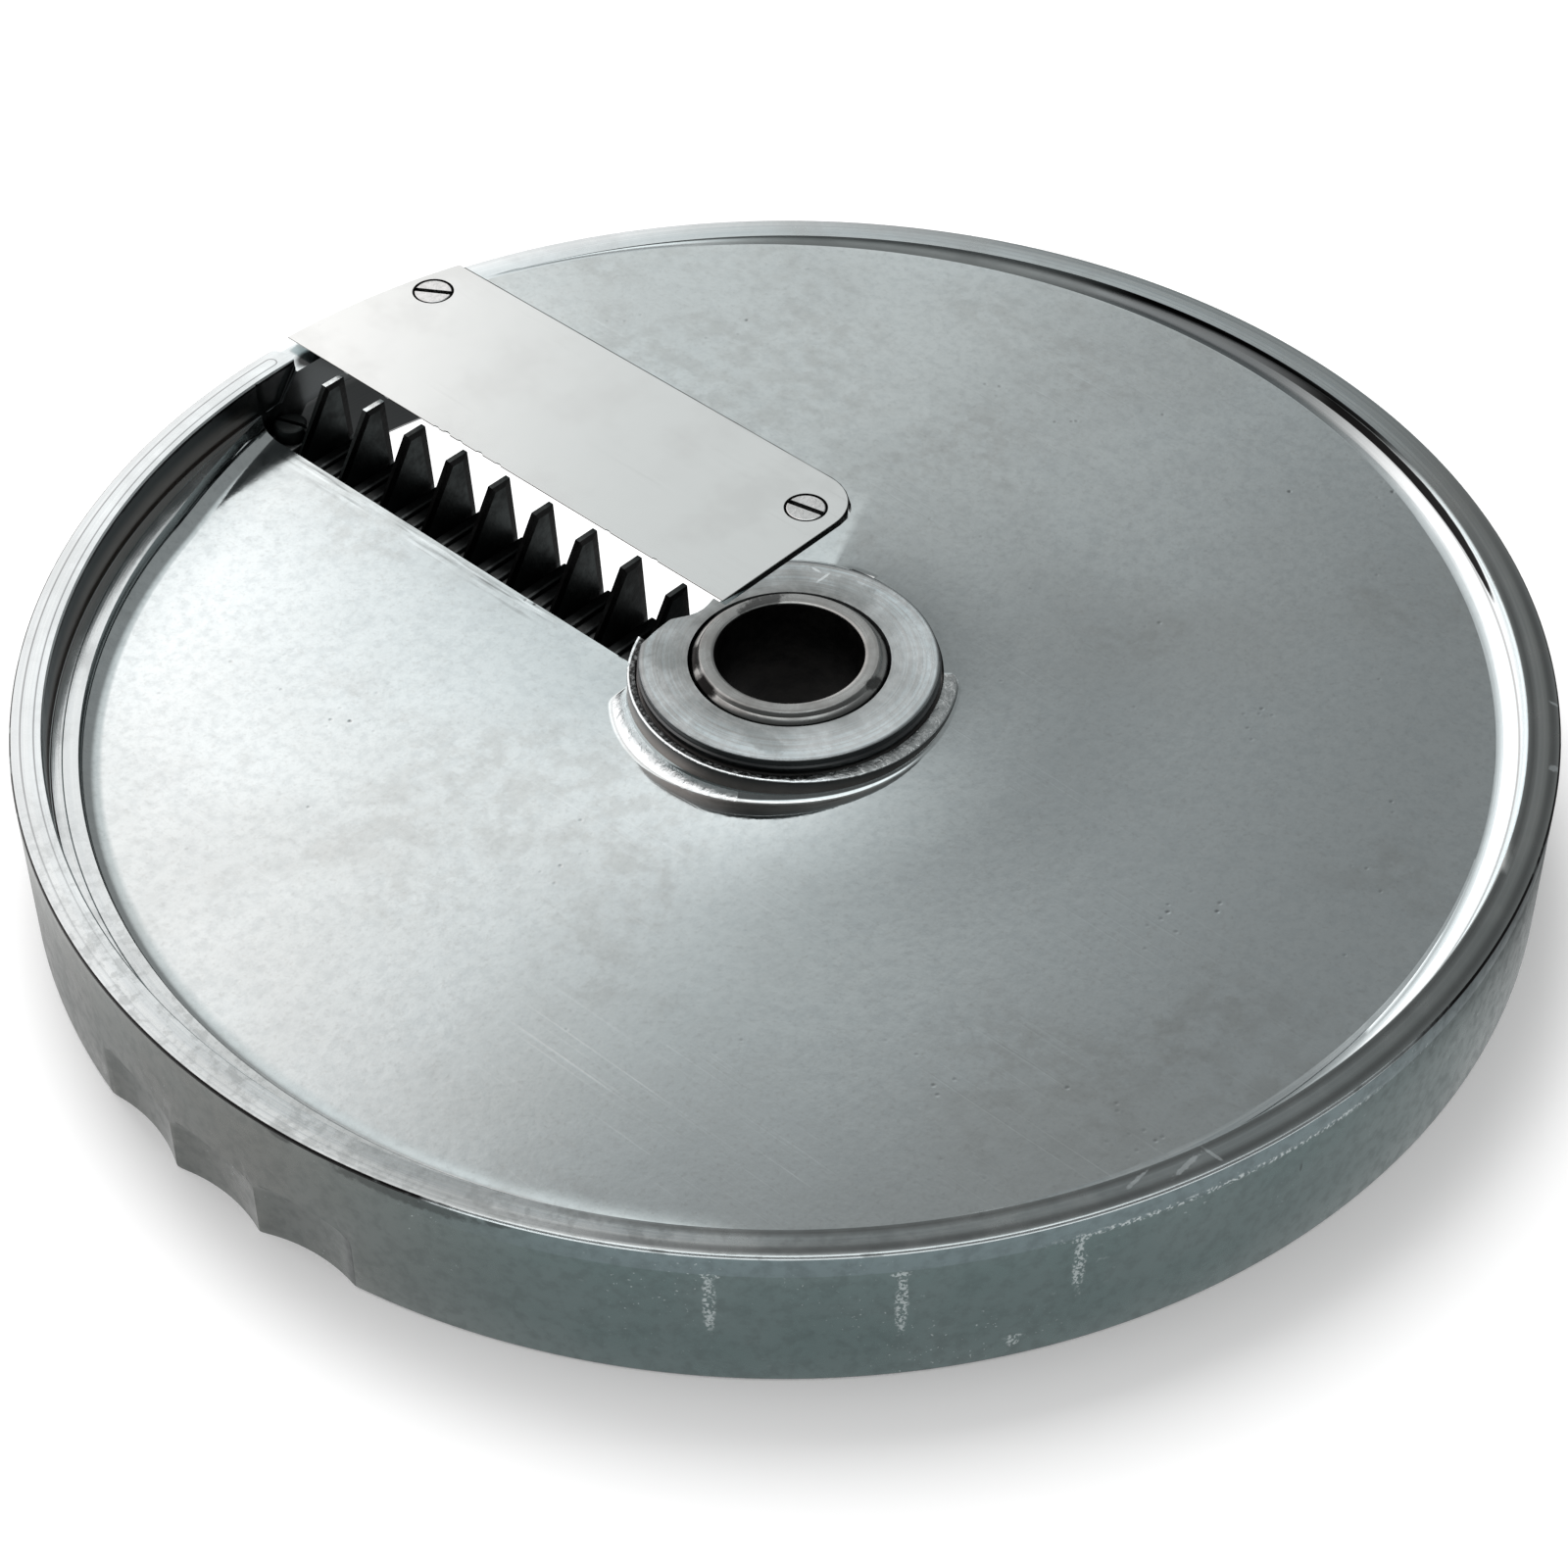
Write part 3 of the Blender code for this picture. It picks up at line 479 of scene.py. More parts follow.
# Turned top of the rim and its ledge. Places on it are masks of the turn, the radius and the level.
def makeLandMetal():
    material, tree = newTree("turnedRim")
    radius, angle, level = polar(tree)
    turned = place(tree, rings, Pitch=2.6)
    cloud = patches(tree, 120.0, 0.42, 0.66)
    # painted shade: at the right the land is made darker and warmer
    right = window(tree, angle, 165.0, 185.0, 240.0, 262.0)
    # painted highlight: at the left the land is made paler
    left = window(tree, angle, -54.0, -25.0, 70.0, 95.0)
    # painted highlight: the cove under the land is made white at the right
    hollow = fade(tree, level, 20.5, 20.8)
    # painted shade: a dark line along the fold in the cove at the right
    fold = times(tree, bandAt(tree, 90.15, 0.22), right)
    # painted shade: the cove is made dark at the rear
    rear = larger(tree, ramp(tree, angle, 245.0, 268.0), fade(tree, angle, -50.0, -38.0))
    # painted shade: the black line at the top of the rear cove, and the ragged streak that it comes from
    black = times(tree, ramp(tree, level, 20.1, 20.4), fade(tree, radius, 90.98, 91.08),
                  window(tree, angle, 242.0, 254.0, 280.0, 292.0))
    streak = plus(tree, times(tree, bandAt(tree, 90.5, 0.55), ramp(tree, angle, 221.0, 246.0)),
                  times(tree, noise(tree, 300.0), 0.12))
    streak = times(tree, ramp(tree, streak, 0.34, 0.46), fade(tree, angle, 258.0, 272.0),
                   ramp(tree, angle, 215.0, 221.0))
    black = larger(tree, black, streak)
    # painted shade: the cove at the rear left is made duller; it is rougher there too
    back = times(tree, larger(tree, ramp(tree, angle, 278.0, 294.0), fade(tree, angle, -48.0, -32.0)),
                 fade(tree, radius, 90.9, 91.05))
    speck = times(tree, patches(tree, 650.0, 0.46, 0.62), window(tree, angle, 48.0, 80.0, 140.0, 170.0))
    low = fade(tree, level, 15.2, 16.4)
    dull = times(tree, spots(tree, [(-96, 30, 20.9, (75, 75, 30))], 60.0, 0.4), ramp(tree, level, 19.0, 20.4))
    # painted shade: soft dark bands on the land at the front
    front = times(tree, ramp(tree, level, 20.0, 20.8), window(tree, angle, 106.0, 128.0, 225.0, 250.0))
    soft = times(tree, larger(tree, bandAt(tree, 91.6, 0.9), bandAt(tree, 94.0, 1.0)), front)
    worn = spots(tree, [(-30, 89.5, 20.9, (15, 7, 4)), (-12, 93.8, 20.9, (2.6, 1.1, 1.0)),
                        (-38, 87.0, 20.9, (2.0, 1.0, 1.0))], 420.0, 1.4)
    nick = spots(tree, [(-74.9, -57.4, 20.9, (0.9, 0.25, 0.8)), (-81.4, -47.6, 20.9, (0.7, 0.7, 0.8)),
                        (-84.6, 37.0, 20.9, (0.3, 2.2, 1.0)), (-88.3, 28.6, 20.9, (1.8, 0.25, 1.0)),
                        (-87.3, 31.6, 20.9, (0.4, 2.6, 1.0))], 1800.0, 1.6)
    # the notch floor at the blade's outer end is made black here too
    notchDark = spots(tree, [(90.9, -2.4, 19.66, (2.3, 3.2, 0.9))], 300.0, 0.3)
    # a fine turned line that goes out along the rim and comes back in a loop at its end
    beyond = maths(tree, 'MINIMUM', maths(tree, 'SUBTRACT', times(tree, angle, 1.6), 3.1), 0.0)
    off = maths(tree, 'SUBTRACT', radius, 92.85)
    reach = maths(tree, 'SQRT', plus(tree, times(tree, off, off), times(tree, beyond, beyond)))
    line = times(tree, fade(tree, maths(tree, 'ABSOLUTE', maths(tree, 'SUBTRACT', reach, 0.8)), 0.0, 0.17),
                 ramp(tree, angle, 0.3, 0.8), ramp(tree, angle, 50.0, 85.0, 1.0, 0.12))
    line = larger(tree, line, times(tree, bandAt(tree, 89.35, 0.16), low))
    colour = coats(tree, "land", (ramp(tree, turned, 0.35, 0.65), "plateDull", 1), (cloud, "ledge", 0.35),
                   (right, "landWarmShade", 0.55), (left, "white", 0.3), (times(tree, hollow, right), "white", 1),
                   (fold, "landShade", 0.6), (times(tree, rear, hollow), "coveShade", 0.9),
                   (black, "ground", 0.99), (back, "landDull", 0.75), (speck, "landDull", 0.4),
                   (low, "ledge", 0.6), (dull, "landDull", 0.6), (soft, "landShade", 0.75),
                   (worn, "landDull", 0.4), (nick, "bareAndHighlight", 0.45), (notchDark, "ground", 0.95),
                   (line, "plateDark", 0.75))
    rough = plus(tree, times(tree, cloud, 0.08), times(tree, back, 0.35), 0.2)
    height = plus(tree, turned, times(tree, noise(tree, 700.0, 4.0), 0.6))
    return metal(material, colour, rough, height, 0.014)


# Wall under the rim and the sides of the flange: dark as painted shade, darker still deep down and black at
# the top edge, a little brown low down
def makeWallMetal():
    material, tree = newTree("shadedWall")
    radius, angle, level = polar(tree)
    cloud = patches(tree, 150.0, 0.35, 0.7)
    # painted shade: darker still deep down near the rim
    deep = times(tree, fade(tree, level, 13.0, 15.0), ramp(tree, radius, 80.0, 86.0))
    brown = times(tree, window(tree, level, 15.4, 15.9, 17.0, 19.2), ramp(tree, angle, 4.8, 7.5))
    # painted shade: a ragged black line at the top of the wall, under the land's edge
    ragged = plus(tree, level, times(tree, noise(tree, 420.0), 0.9))
    black = times(tree, ramp(tree, ragged, 20.55, 20.8), ramp(tree, radius, 80.0, 85.0))
    colour = coats(tree, "wall", (cloud, "landShade", 0.6), (deep, "combShade", 0.7),
                   (brown, "wallBrown", 0.8), (black, "ground", 1))
    rough = plus(tree, times(tree, cloud, 0.1), 0.28)
    return metal(material, colour, rough, place(tree, rings, Pitch=2.2), 0.02)


# Flange round the hub: turned, browner near the bush, paler at the right and darker at the left
def makeHubMetal():
    material, tree = newTree("hubFlange")
    radius = polar(tree)[0]
    x = axes(tree)[0]
    turned = place(tree, rings, Pitch=3.2)
    fine = patches(tree, 900.0, 0.40, 0.66)
    near = fade(tree, plus(tree, radius, times(tree, noise(tree, 240.0, 4.0), -3.0)), 11.0, 16.0)
    stain = spots(tree, [(11.5, 10.0, 20.9, (4.0, 3.0, 2.0)), (3.0, -15.0, 20.9, (5.0, 2.0, 2.0)),
                         (-8.0, 13.5, 20.9, (4.0, 2.0, 2.0))], 420.0, 1.6)
    nick = spots(tree, [(7.3, -14.3, 20.9, (0.25, 1.5, 1.0)), (9.0, -14.8, 20.9, (0.9, 0.25, 1.0))],
                 1500.0, 0.9)
    colour = coats(tree, "hub", (ramp(tree, turned, 0.38, 0.62), "ledge", 1), (near, "hubBrown", 0.85),
                   (patches(tree, 110.0, 0.45, 0.62), "landDull", 0.3),
                   (patches(tree, 170.0, 0.38, 0.66), "white", 0.35), (fine, "ledge", 0.45),
                   (fade(tree, x, -19 * mm, 4 * mm), "white", 0.25),
                   (ramp(tree, x, 2 * mm, 15 * mm), "hubBrown", 0.35), (stain, "landDull", 0.45),
                   # painted shade: the band at 18.55 darkens the flange's rounded edge; the nicks are real
                   (bandAt(tree, 18.55, 0.35), "plateDark", 0.6), (nick, "bareAndHighlight", 0.6))
    rough = plus(tree, times(tree, near, 0.08), times(tree, fine, 0.08), 0.34)
    return metal(material, colour, rough, plus(tree, turned, times(tree, fine, 0.6)), 0.016)


# Ring round the flange: pale and rough as cast at the right; in front, painted black shade with painted
# glints between fine painted highlight lines, and a painted white highlight on its left fillet
def makeRingMetal():
    material, tree = newTree("hubRing")
    radius, angle = polar(tree)[:2]
    grain = patches(tree, 700.0, 0.35, 0.65)
    black = window(tree, angle, -40.0, -20.0, 138.0, 158.0)
    glint = times(tree, patches(tree, 1800.0, 0.45, 0.62), black, ramp(tree, radius, 19.0, 19.5))
    broad = times(tree, ramp(tree, radius, 20.24, 20.3), fade(tree, angle, 75.0, 110.0))
    colour = coats(tree, "ring", (grain, "landDull", 0.6), (black, "ground", 0.95), (glint, "bareAndHighlight", 0.2),
                   (times(tree, ramp(tree, radius, 19.85, 20.0), black), "white", 1), (broad, "white", 1))
    rough = plus(tree, times(tree, grain, 0.15), 0.24)
    return metal(material, colour, rough, plus(tree, grain, noise(tree, 1600.0)), 0.05)


# Turn in degrees, upper and lower end of each rub mark
skirtMarks = ((127.5, 17.4, 8.5), (139.9, 17.2, 7.5), (151.8, 17.2, 8.8), (147.5, 3.4, 1.8))


# Outer wall of the skirt: painted shade makes it a darker copy of the cast metal, warm grey at the left and
# teal grey from the front on; paler turned band on top, scuffs
def makeSkirtMetal():
    material, tree = newTree("skirtWall")
    radius, angle, level = polar(tree)
    cloud = patches(tree, 75.0, 0.38, 0.68)
    fine = patches(tree, 600.0, 0.40, 0.68)
    paleTop = times(tree, ramp(tree, level, 17.5, 17.8), ramp(tree, angle, 104.0, 125.0))
    scuff = place(tree, scratches, Turn=(0.5, 0.2, 0.9), Stretch=(40, 900, 900), Level=0.66)
    # white specks, painted shade in the scoops' hollows and along the edge of the last one, a worn dark patch
    # under the top edge
    dust = times(tree, ramp(tree, noise(tree, 2300.0, 1.0), 0.70, 0.77),
                 ramp(tree, noise(tree, 55.0, 2.0), 0.50, 0.66))
    hollow = fade(tree, radius, 94.3, 94.9)
    scoopEdgeShade = times(tree, window(tree, radius, 94.3, 94.8, 94.97, 94.985), ramp(tree, angle, 96.0, 100.0),
                   fade(tree, level, 10.6, 11.0))
    worn = spots(tree, [(-28, 90.8, 20.0, (13, 5, 1.3)), (-12, 94.2, 20.4, (2.6, 1.0, 0.8)),
                        (-38, 87.0, 20.4, (2.2, 1.2, 0.9)), (-93.2, 18.0, 13.5, (0.3, 0.3, 1.0))], 700.0, 1.5)
    # upright rub marks, each with a short bar on top
    marks = []
    for turn, high, low in skirtMarks:
        x, y = 95 * math.cos(math.radians(turn)), 95 * math.sin(math.radians(turn))
        marks += [(x, y, (high + low) / 2, (0.85, 0.85, (high - low) / 1.6)), (x, y, high, (1.3, 1.3, 0.5))]
    dots = ramp(tree, noise(tree, 2400.0, 2.0), 0.44, 0.56)
    lighter = times(tree, spots(tree, marks, 1600.0, 1.3), dots)
    # speckled scratch under the rim's edge at the right
    away = maths(tree, 'ABSOLUTE', maths(tree, 'SUBTRACT', level, 17.8))
    speck = times(tree, ramp(tree, noise(tree, 2000.0, 2.0), 0.5, 0.6),
                  window(tree, angle, 148.0, 154.0, 172.0, 179.0), fade(tree, away, 0.1, 0.6))
    colour = coats(tree, "skirtWarm", (ramp(tree, angle, 92.0, 122.0), "skirt", 1), (cloud, "skirtPale", 0.2),
                   (paleTop, "skirtTop", 0.75), (fine, "skirtDark", 0.2), (scuff, "land", 0.3),
                   (dust, "land", 0.6), (hollow, "skirtDark", 0.16), (scoopEdgeShade, "skirtDark", 0.85),
                   (worn, "edgeDark", 0.5), (lighter, "land", 0.7), (speck, "land", 1))
    rough = plus(tree, times(tree, cloud, 0.08), times(tree, fine, 0.06), 0.26)
    return metal(material, colour, rough, plus(tree, noise(tree, 1500.0, 2.0), times(tree, fine, 0.5)), 0.012)


# Broken edge between rim and skirt: black at the left, bare metal with a painted highlight from the front
# onwards
def makeEdgeMetal():
    material, tree = newTree("rimEdge")
    angle = polar(tree)[1]
    grain = noise(tree, 500.0, 4.0)
    bareAndHighlight = window(tree, plus(tree, angle, times(tree, grain, 9.0)), 111.0, 118.0, 178.0, 190.0)
    rear = larger(tree, ramp(tree, angle, 225.0, 260.0), fade(tree, angle, -30.0, 10.0))
    spoiled = ramp(tree, noise(tree, 260.0, 5.0), 0.58, 0.66)
    colour = coats(tree, "edgeDark", (bareAndHighlight, "bareAndHighlight", 1), (rear, "land", 1), (spoiled, "landDull", 0.55))
    return metal(material, colour, plus(tree, times(tree, grain, 0.2), 0.25), grain, 0.02)


# Rough as-cast underside
def makeUnderMetal():
    material, tree = newTree("roughCast")
    fine = patches(tree, 800.0, 0.40, 0.66)
    pit = place(tree, pits, Scale=420.0, Size=0.3, Spread=0.5)
    colour = coats(tree, "under", (patches(tree, 90.0, 0.35, 0.7), "underDark", 1), (pit, "plateDark", 0.7))
    height = plus(tree, noise(tree, 1100.0, 4.0), times(tree, pit, -0.8))
    return metal(material, colour, plus(tree, times(tree, fine, 0.12), 0.48), height, 0.06)


# Turned steel, tarnished on top and stained on the chamfer
def makeBushMetal():
    material, tree = newTree("bushSteel")
    radius = polar(tree)[0]
    turned = place(tree, rings, Pitch=4.0)
    cloud = patches(tree, 260.0, 0.38, 0.66)
    stain = spots(tree, [(8.6, 8.2, 21.3, (3.4, 2.6, 1.5)), (4.0, 11.2, 21.3, (3.0, 1.8, 1.5))], 500.0, 0.9)
    smudge = spots(tree, [(8.6, -4.2, 21.9, (2.2, 4.6, 1.5)), (-11.2, -3.4, 21.6, (0.8, 2.2, 1.5))],
                   900.0, 1.5)
    colour = coats(tree, "bush", (cloud, "bushDark", 0.35), (ramp(tree, turned, 0.4, 0.65), "bushDark", 0.3),
                   (times(tree, stain, ramp(tree, radius, 11.0, 11.4)), "bore", 1), (smudge, "bore", 0.75))
    rough = plus(tree, times(tree, cloud, 0.12), 0.26)
    return metal(material, colour, rough, plus(tree, turned, cloud), 0.012)


def makeBladeMetal():
    material, tree = newTree("bladeSteel")
    cloud = patches(tree, 70.0, 0.42, 0.68)
    brushed = scratched(tree, 0.12, (25, 1700, 25), 0.5)
    pit = place(tree, pits, Scale=380.0, Size=0.16, Spread=0.62)
    colour = coats(tree, "blade", (cloud, "bladeDull", 0.4), (brushed, "bladeDull", 0.25),
                   (pit, "plateDark", 0.6))
    height = plus(tree, brushed, noise(tree, 130.0, 2.0))
    return metal(material, colour, plus(tree, times(tree, cloud, 0.05), 0.13), height, 0.01)


# Steel with a simple cloudy change between two colours, for the small pieces
def makeSteel(name, first, second, roughness):
    material, tree = newTree(name)
    cloud = patches(tree, 300.0, 0.35, 0.68)
    fine = patches(tree, 1200.0, 0.4, 0.66)
    rough = plus(tree, times(tree, cloud, 0.08), times(tree, fine, 0.05), roughness)
    return metal(material, coats(tree, first, (cloud, second, 1)), rough, fine, 0.01)


# Base of the comb: painted light makes it grey near the slot's edge, painted shade black behind and in the
# gap
def makeCombMetal():
    material, tree = newTree("combSteel")
    y = axes(tree)[1]
    fine = patches(tree, 900.0, 0.35, 0.68)
    lit = window(tree, y, 2.5 * mm, 5.5 * mm, 6.85 * mm, 7.05 * mm)
    colour = coats(tree, "combShade", (lit, "comb", 1), (fine, "combShade", 0.35))
    return metal(material, colour, plus(tree, times(tree, fine, 0.1), 0.42), fine, 0.015)


bushSteel = makeBushMetal()
# black steel that paints shade in the bore, the screws' slots and sinks and on the blade's inner end
shadeSteel = makeSteel("shadeSteel", "bore", "boreDull", 0.45)
bladeSteel = makeBladeMetal()
screwSteel = makeSteel("screwSteel", "screw", "bladeDull", 0.2)
# the teeth's dark steel and their black ground borders are painted shade
toothSteel = makeSteel("toothSteel", "tooth", "toothDull", 0.4)
toothGround = makeSteel("toothGround", "ground", "groundDull", 0.42)
# bare steel, and a painted highlight on the tops of the two outer teeth
bareSteelAndHighlight = makeSteel("bareSteelAndHighlight", "bareAndHighlight", "blade", 0.3)
combSteel = makeCombMetal()
castMetals = (makePlateMetal(), makeLandMetal(), makeWallMetal(), makeHubMetal(), makeSkirtMetal(),
              makeUnderMetal(), makeEdgeMetal(), makeRingMetal())
plateFace, landFace, wallFace, flangeFace, skirtFace, underFace, edgeFace, ringFace = range(len(castMetals))
print("julienne disc: finishes made")


disc = {
    "radius": 95.0, "top": 20.9, "wallRadius": 91.0, "landInner": 92.2, "skirtInner": 92.0, "edgeBreak": 0.4,
    "cutDrop": 8.0, "bladeRear": 30.04, "slotFront": 7.7, "levelEndLimit": 65.0, "thin": 4.0, "thick": 7.0,
    "seatBlend": 110.0, "ledgeDrop": 5.0, "ledgeWidth": 3.7, "ledgeFillet": 2.6, "filletRise": 0.6,
    "ledgeTaper": (340.0, 355.0), "cove": 3.5, "coveShare": 0.6, "underFillet": 3.0,
    "hubBore": 12.65, "hubFoot": 1.5, "flangeFlat": 18.2, "flange": 18.7, "ring": 20.2, "ringDrop": 2.0,
    "ringStart": 139.0, "ringRound": 0.25, "hubCove": 3.6, "hubGroove": 0.5, "bead": 0.22,
    "lineDrop": 3.2, "scoopTop": 12.0, "scoopMiddle": 6.0, "sections": 360,
}
top = disc["top"]
above = 22  # level over the whole disc, where a cutter may end
bladeScrews = {"outer": (88.82, -23.19), "inner": (18.5, -23.19)}
combScrew = (88.0, 4.7)


def limit(value, low, high):
    return max(low, min(high, value))


def smoothStep(value):
    share = limit(value, 0.0, 1.0)
    return share * share * (3 - 2 * share)


# How far a round has come in and gone down, at even steps of a quarter turn
def rounded(size, steps):
    turns = [math.radians(90) * k / steps for k in range(steps + 1)]
    return [(size * (1 - math.sin(turn)), size * (1 - math.cos(turn))) for turn in turns]


# How far the plate lies under the rim. It is level behind the blade, then falls evenly with
# the turn to the front edge of the slot.
def plateDrop(radius, turn):
    share = min(disc["bladeRear"] / radius, math.sin(math.radians(disc["levelEndLimit"])))
    start = math.degrees(math.asin(share))
    end = 360 - math.degrees(math.asin(min(disc["slotFront"] / radius, 1)))
    if turn >= 360 or turn < start:
        return 0.0
    return disc["cutDrop"] * limit((turn - start) / (end - start), 0, 1)


def plateLevel(radius, turn):
    return top - plateDrop(radius, turn)


def ledgeEdge(turn):
    begin, end = disc["ledgeTaper"]
    taper = limit((turn - begin) / (end - begin), 0, 1) ** 1.3
    return disc["wallRadius"] - disc["ledgeWidth"] + (disc["ledgeWidth"] - 0.8) * taper


# The ring starts wide and rough at the right and narrows towards the front
def ringEdge(turn):
    proud = math.sqrt(limit((turn - disc["ringStart"]) / 6, 0, 1))
    return disc["ring"] + 0.9 * proud * (1 - smoothStep((turn - 185) / 55))


# Flange, its side wall with a fine bead, the ring and the round down to the plate
def hubSide(turn):
    flange, ring = disc["flange"], ringEdge(turn)
    drop = plateDrop(ring, turn)
    fullness = smoothStep((turn - 225) / 70)
    begun = 1 - 0.85 * smoothStep((turn - 316) / 12)
    wide = (0.15 + (0.34 + 0.08 * fullness) * (plateDrop(ring + 2, turn) - disc["ringDrop"])) * begun
    cove = limit(wide, 0.3, disc["hubCove"] - (ring - disc["ring"]))
    proud = smoothStep((turn - disc["ringStart"]) / 3)
    ringDrop = drop if drop < disc["ringDrop"] else drop + (disc["ringDrop"] - drop) * proud
    level = top - ringDrop
    tall = smoothStep(ringDrop / 1.4)
    edge = 0.08 + 0.2 * tall
    bead, groove = flange + disc["bead"] * tall, level - disc["hubGroove"] * tall
    points = [(disc["hubBore"], top), (disc["flangeFlat"], top)]
    points += [(flange - a, top - b) for a, b in rounded(edge, 3)]
    points += [(flange, top - max(edge, 0.45 * ringDrop)), (bead, top - max(edge, 0.55 * ringDrop)),
               (bead, top - max(edge, 0.65 * ringDrop)), (flange, groove), (flange + 0.3, groove),
               (flange + 0.5, level)]
    size = disc["ringRound"]
    points += [(ring - a, level - proud * b) for a, b in rounded(size, 3)]
    for a, b in rounded(1, 8):
        radius = ring + 0.02 + cove * b
        fall = plateDrop(radius, turn)
        rise = (0.36 + 0.24 * fullness) * max(fall - disc["ringDrop"], 0) * a
        points.append((radius, top - fall + min(rise, max(fall - ringDrop - size * proud, 0))))
    return points + [(radius + 0.15, plateLevel(radius + 0.15, turn))]


def plateRadii(turn, count=9):
    inner = disc["ring"] + disc["hubCove"] + 0.02
    outer = ledgeEdge(turn) - disc["ledgeFillet"]
    return [inner + 0.3] + [inner + (outer - inner) * (k + 1) / (count + 1) for k in range(count)]


# The round up to the rim grows as the plate falls away
def coveWidth(turn):
    return min(disc["cove"], 0.5 + 1.25 * plateDrop(89.0, turn))


# Round up to the ledge, the ledge with its split line, the groove at the wall's foot, the wall
def rimSide(turn):
    edge = ledgeEdge(turn)
    drop = plateDrop(edge, turn)
    wall = disc["wallRadius"]
    rise = disc["filletRise"] * max(drop - disc["ledgeDrop"], 0)
    points = [(edge - disc["ledgeFillet"] * a, top - drop + rise * b) for a, b in rounded(1, 8)]
    level = top - min(drop, disc["ledgeDrop"])
    sharp = smoothStep((drop / disc["ledgeDrop"] - disc["coveShare"]) / (1 - disc["coveShare"]))
    points.append((edge + 0.1, level))
    wide = coveWidth(turn)
    cove = min(wide + (0.4 - wide) * sharp, wall - edge - 0.2)
    room = wall - cove - edge - 0.1
    split, half = edge + 0.1 + room * 0.6, min(0.08, room * 0.3)
    points += [(split - half, level), (split, level - 0.14 * sharp), (split + half, level)]
    lift = min(drop, cove)
    groove = 0.45 * sharp * smoothStep(drop - 4)
    for a, b in rounded(1, 8):
        points.append((wall - cove * a, level + lift * b - groove * 2 * (1 - a) * (1 - b)))
    return points + [(wall, max(level + lift, top - 0.25)), (wall + 0.2, top)]


# Rim land, broken edge, outer wall with the turned line, foot of the skirt
def skirtSide():
    radius, size, line = disc["radius"], disc["edgeBreak"], top - disc["lineDrop"]
    points = [(disc["landInner"], top)] + [(radius - a, top - b) for a, b in rounded(size, 4)]
    points += [(radius, line), (radius - 0.05, line - 0.06), (radius - 0.03, line - 0.16),
               (radius, disc["scoopTop"]), (radius, disc["scoopMiddle"])]
    points += [(radius - b, a) for a, b in rounded(size, 3)]
    return points + [(disc["skirtInner"] + a, b) for a, b in rounded(size, 2)]


def underSide(turn):
    share = 1 - smoothStep(turn / disc["seatBlend"])
    thick = disc["thin"] + (disc["thick"] - disc["thin"]) * share
    radii = [(disc["skirtInner"] - b, a) for a, b in rounded(disc["underFillet"], 5)]
    radii += [(radius, 0) for radius in reversed(plateRadii(turn))]
    radii += [(disc["ring"] + a, b) for a, b in rounded(disc["underFillet"], 5)]
    points = [(radius, plateLevel(radius, turn) - thick - fall) for radius, fall in radii]
    foot, ring = disc["hubFoot"], disc["ring"]
    return points + [(ring, foot + 0.4), (ring - 0.12, foot + 0.12), (ring - 0.4, foot),
                     (disc["hubBore"], foot)]


def castSection(turn):
    plate = [(radius, plateLevel(radius, turn)) for radius in plateRadii(turn)]
    return hubSide(turn) + plate + rimSide(turn) + skirtSide() + underSide(turn)


# The casting is one section carried once round the axis while its plate falls, and closed on
# itself where the slot will be cut. No operator falls with the turn, so the loft is written.
def helicalCasting():
    count = disc["sections"]
    turns = [360 * k / count for k in range(count - 2)] + [357.5]
    points, faces = [], []
    for turn in turns:
        angle = math.radians(-turn)
        points += [(r * math.cos(angle) * mm, r * math.sin(angle) * mm, z * mm) for r, z in castSection(turn)]
    size = len(castSection(0))
    for k in range(len(turns)):
        here, after = k * size, (k + 1) % len(turns) * size
        for m in range(size):
            n = (m + 1) % size
            faces.append((here + m, here + n, after + n, after + m))
    piece = newPiece("disc_casting", points, [], faces)
    openMesh(piece, 'SELECT')
    closeShape(0.0000005)
    return piece


# Outlines of what is cut into the casting, as X and Y, and the levels of the cuts
slotRear = -8.5
cuts = {
    "slot": [(14.75, slotRear), (14.75, -1.85), (14.45, -0.6), (14.3, 0.4), (14.4, 1.5), (14.75, 2.6),
             (15.3, 3.6), (15.85, 4.6), (16.0, 5.6), (15.8, 7.74), (90.76, 7.74), (90.05, 1.0),
             (90.0, slotRear)],
    "corner": [(15.9, 5.0), (15.75, 7.7), (15.45, 9.6), (15.3, 10.8), (15.2, 13.0), (15.4, 18.7),
               (20.15, 18.7), (20.15, 7.0)],
    "seat": [(12.75, -1.9), (12.75, -23.44), (13.03, -25.36), (13.8, -26.84), (14.72, -27.72), (15.7, -28.43),
             (16.85, -29.24), (18.47, -29.91), (20.2, -30.12), (97.0, -30.12), (97.0, 1.9), (95.0, 1.45),
             (94.2, 0.8), (93.2, 0.45), (92.2, 0.3), (91.2, 0.45), (90.6, 0.75), (90.15, 1.25), (89.9, 1.9),
             (88.6, 1.9), (88.6, 0.5), (60.0, -1.0), (16.0, -1.9)],
    "floors": {"slot": -1, "corner": 18.4, "seat": top - 1.24},
    "bosses": {"outer": 2.8, "inner": 4.6}, "bossEnds": (10.4, 19.3), "screwHole": 1.8,
    "lugs": (((14.6, -3.2, 1.9), (20.6, 7.4, 3.6)), ((84.6, -3.2, 0.4), (93.0, 7.4, 3.6))), "lugEdge": 0.3,
}


def cutOutline(casting, name):
    cut(casting, drawn(name, cuts[name], 'Z', cuts["floors"][name], above))


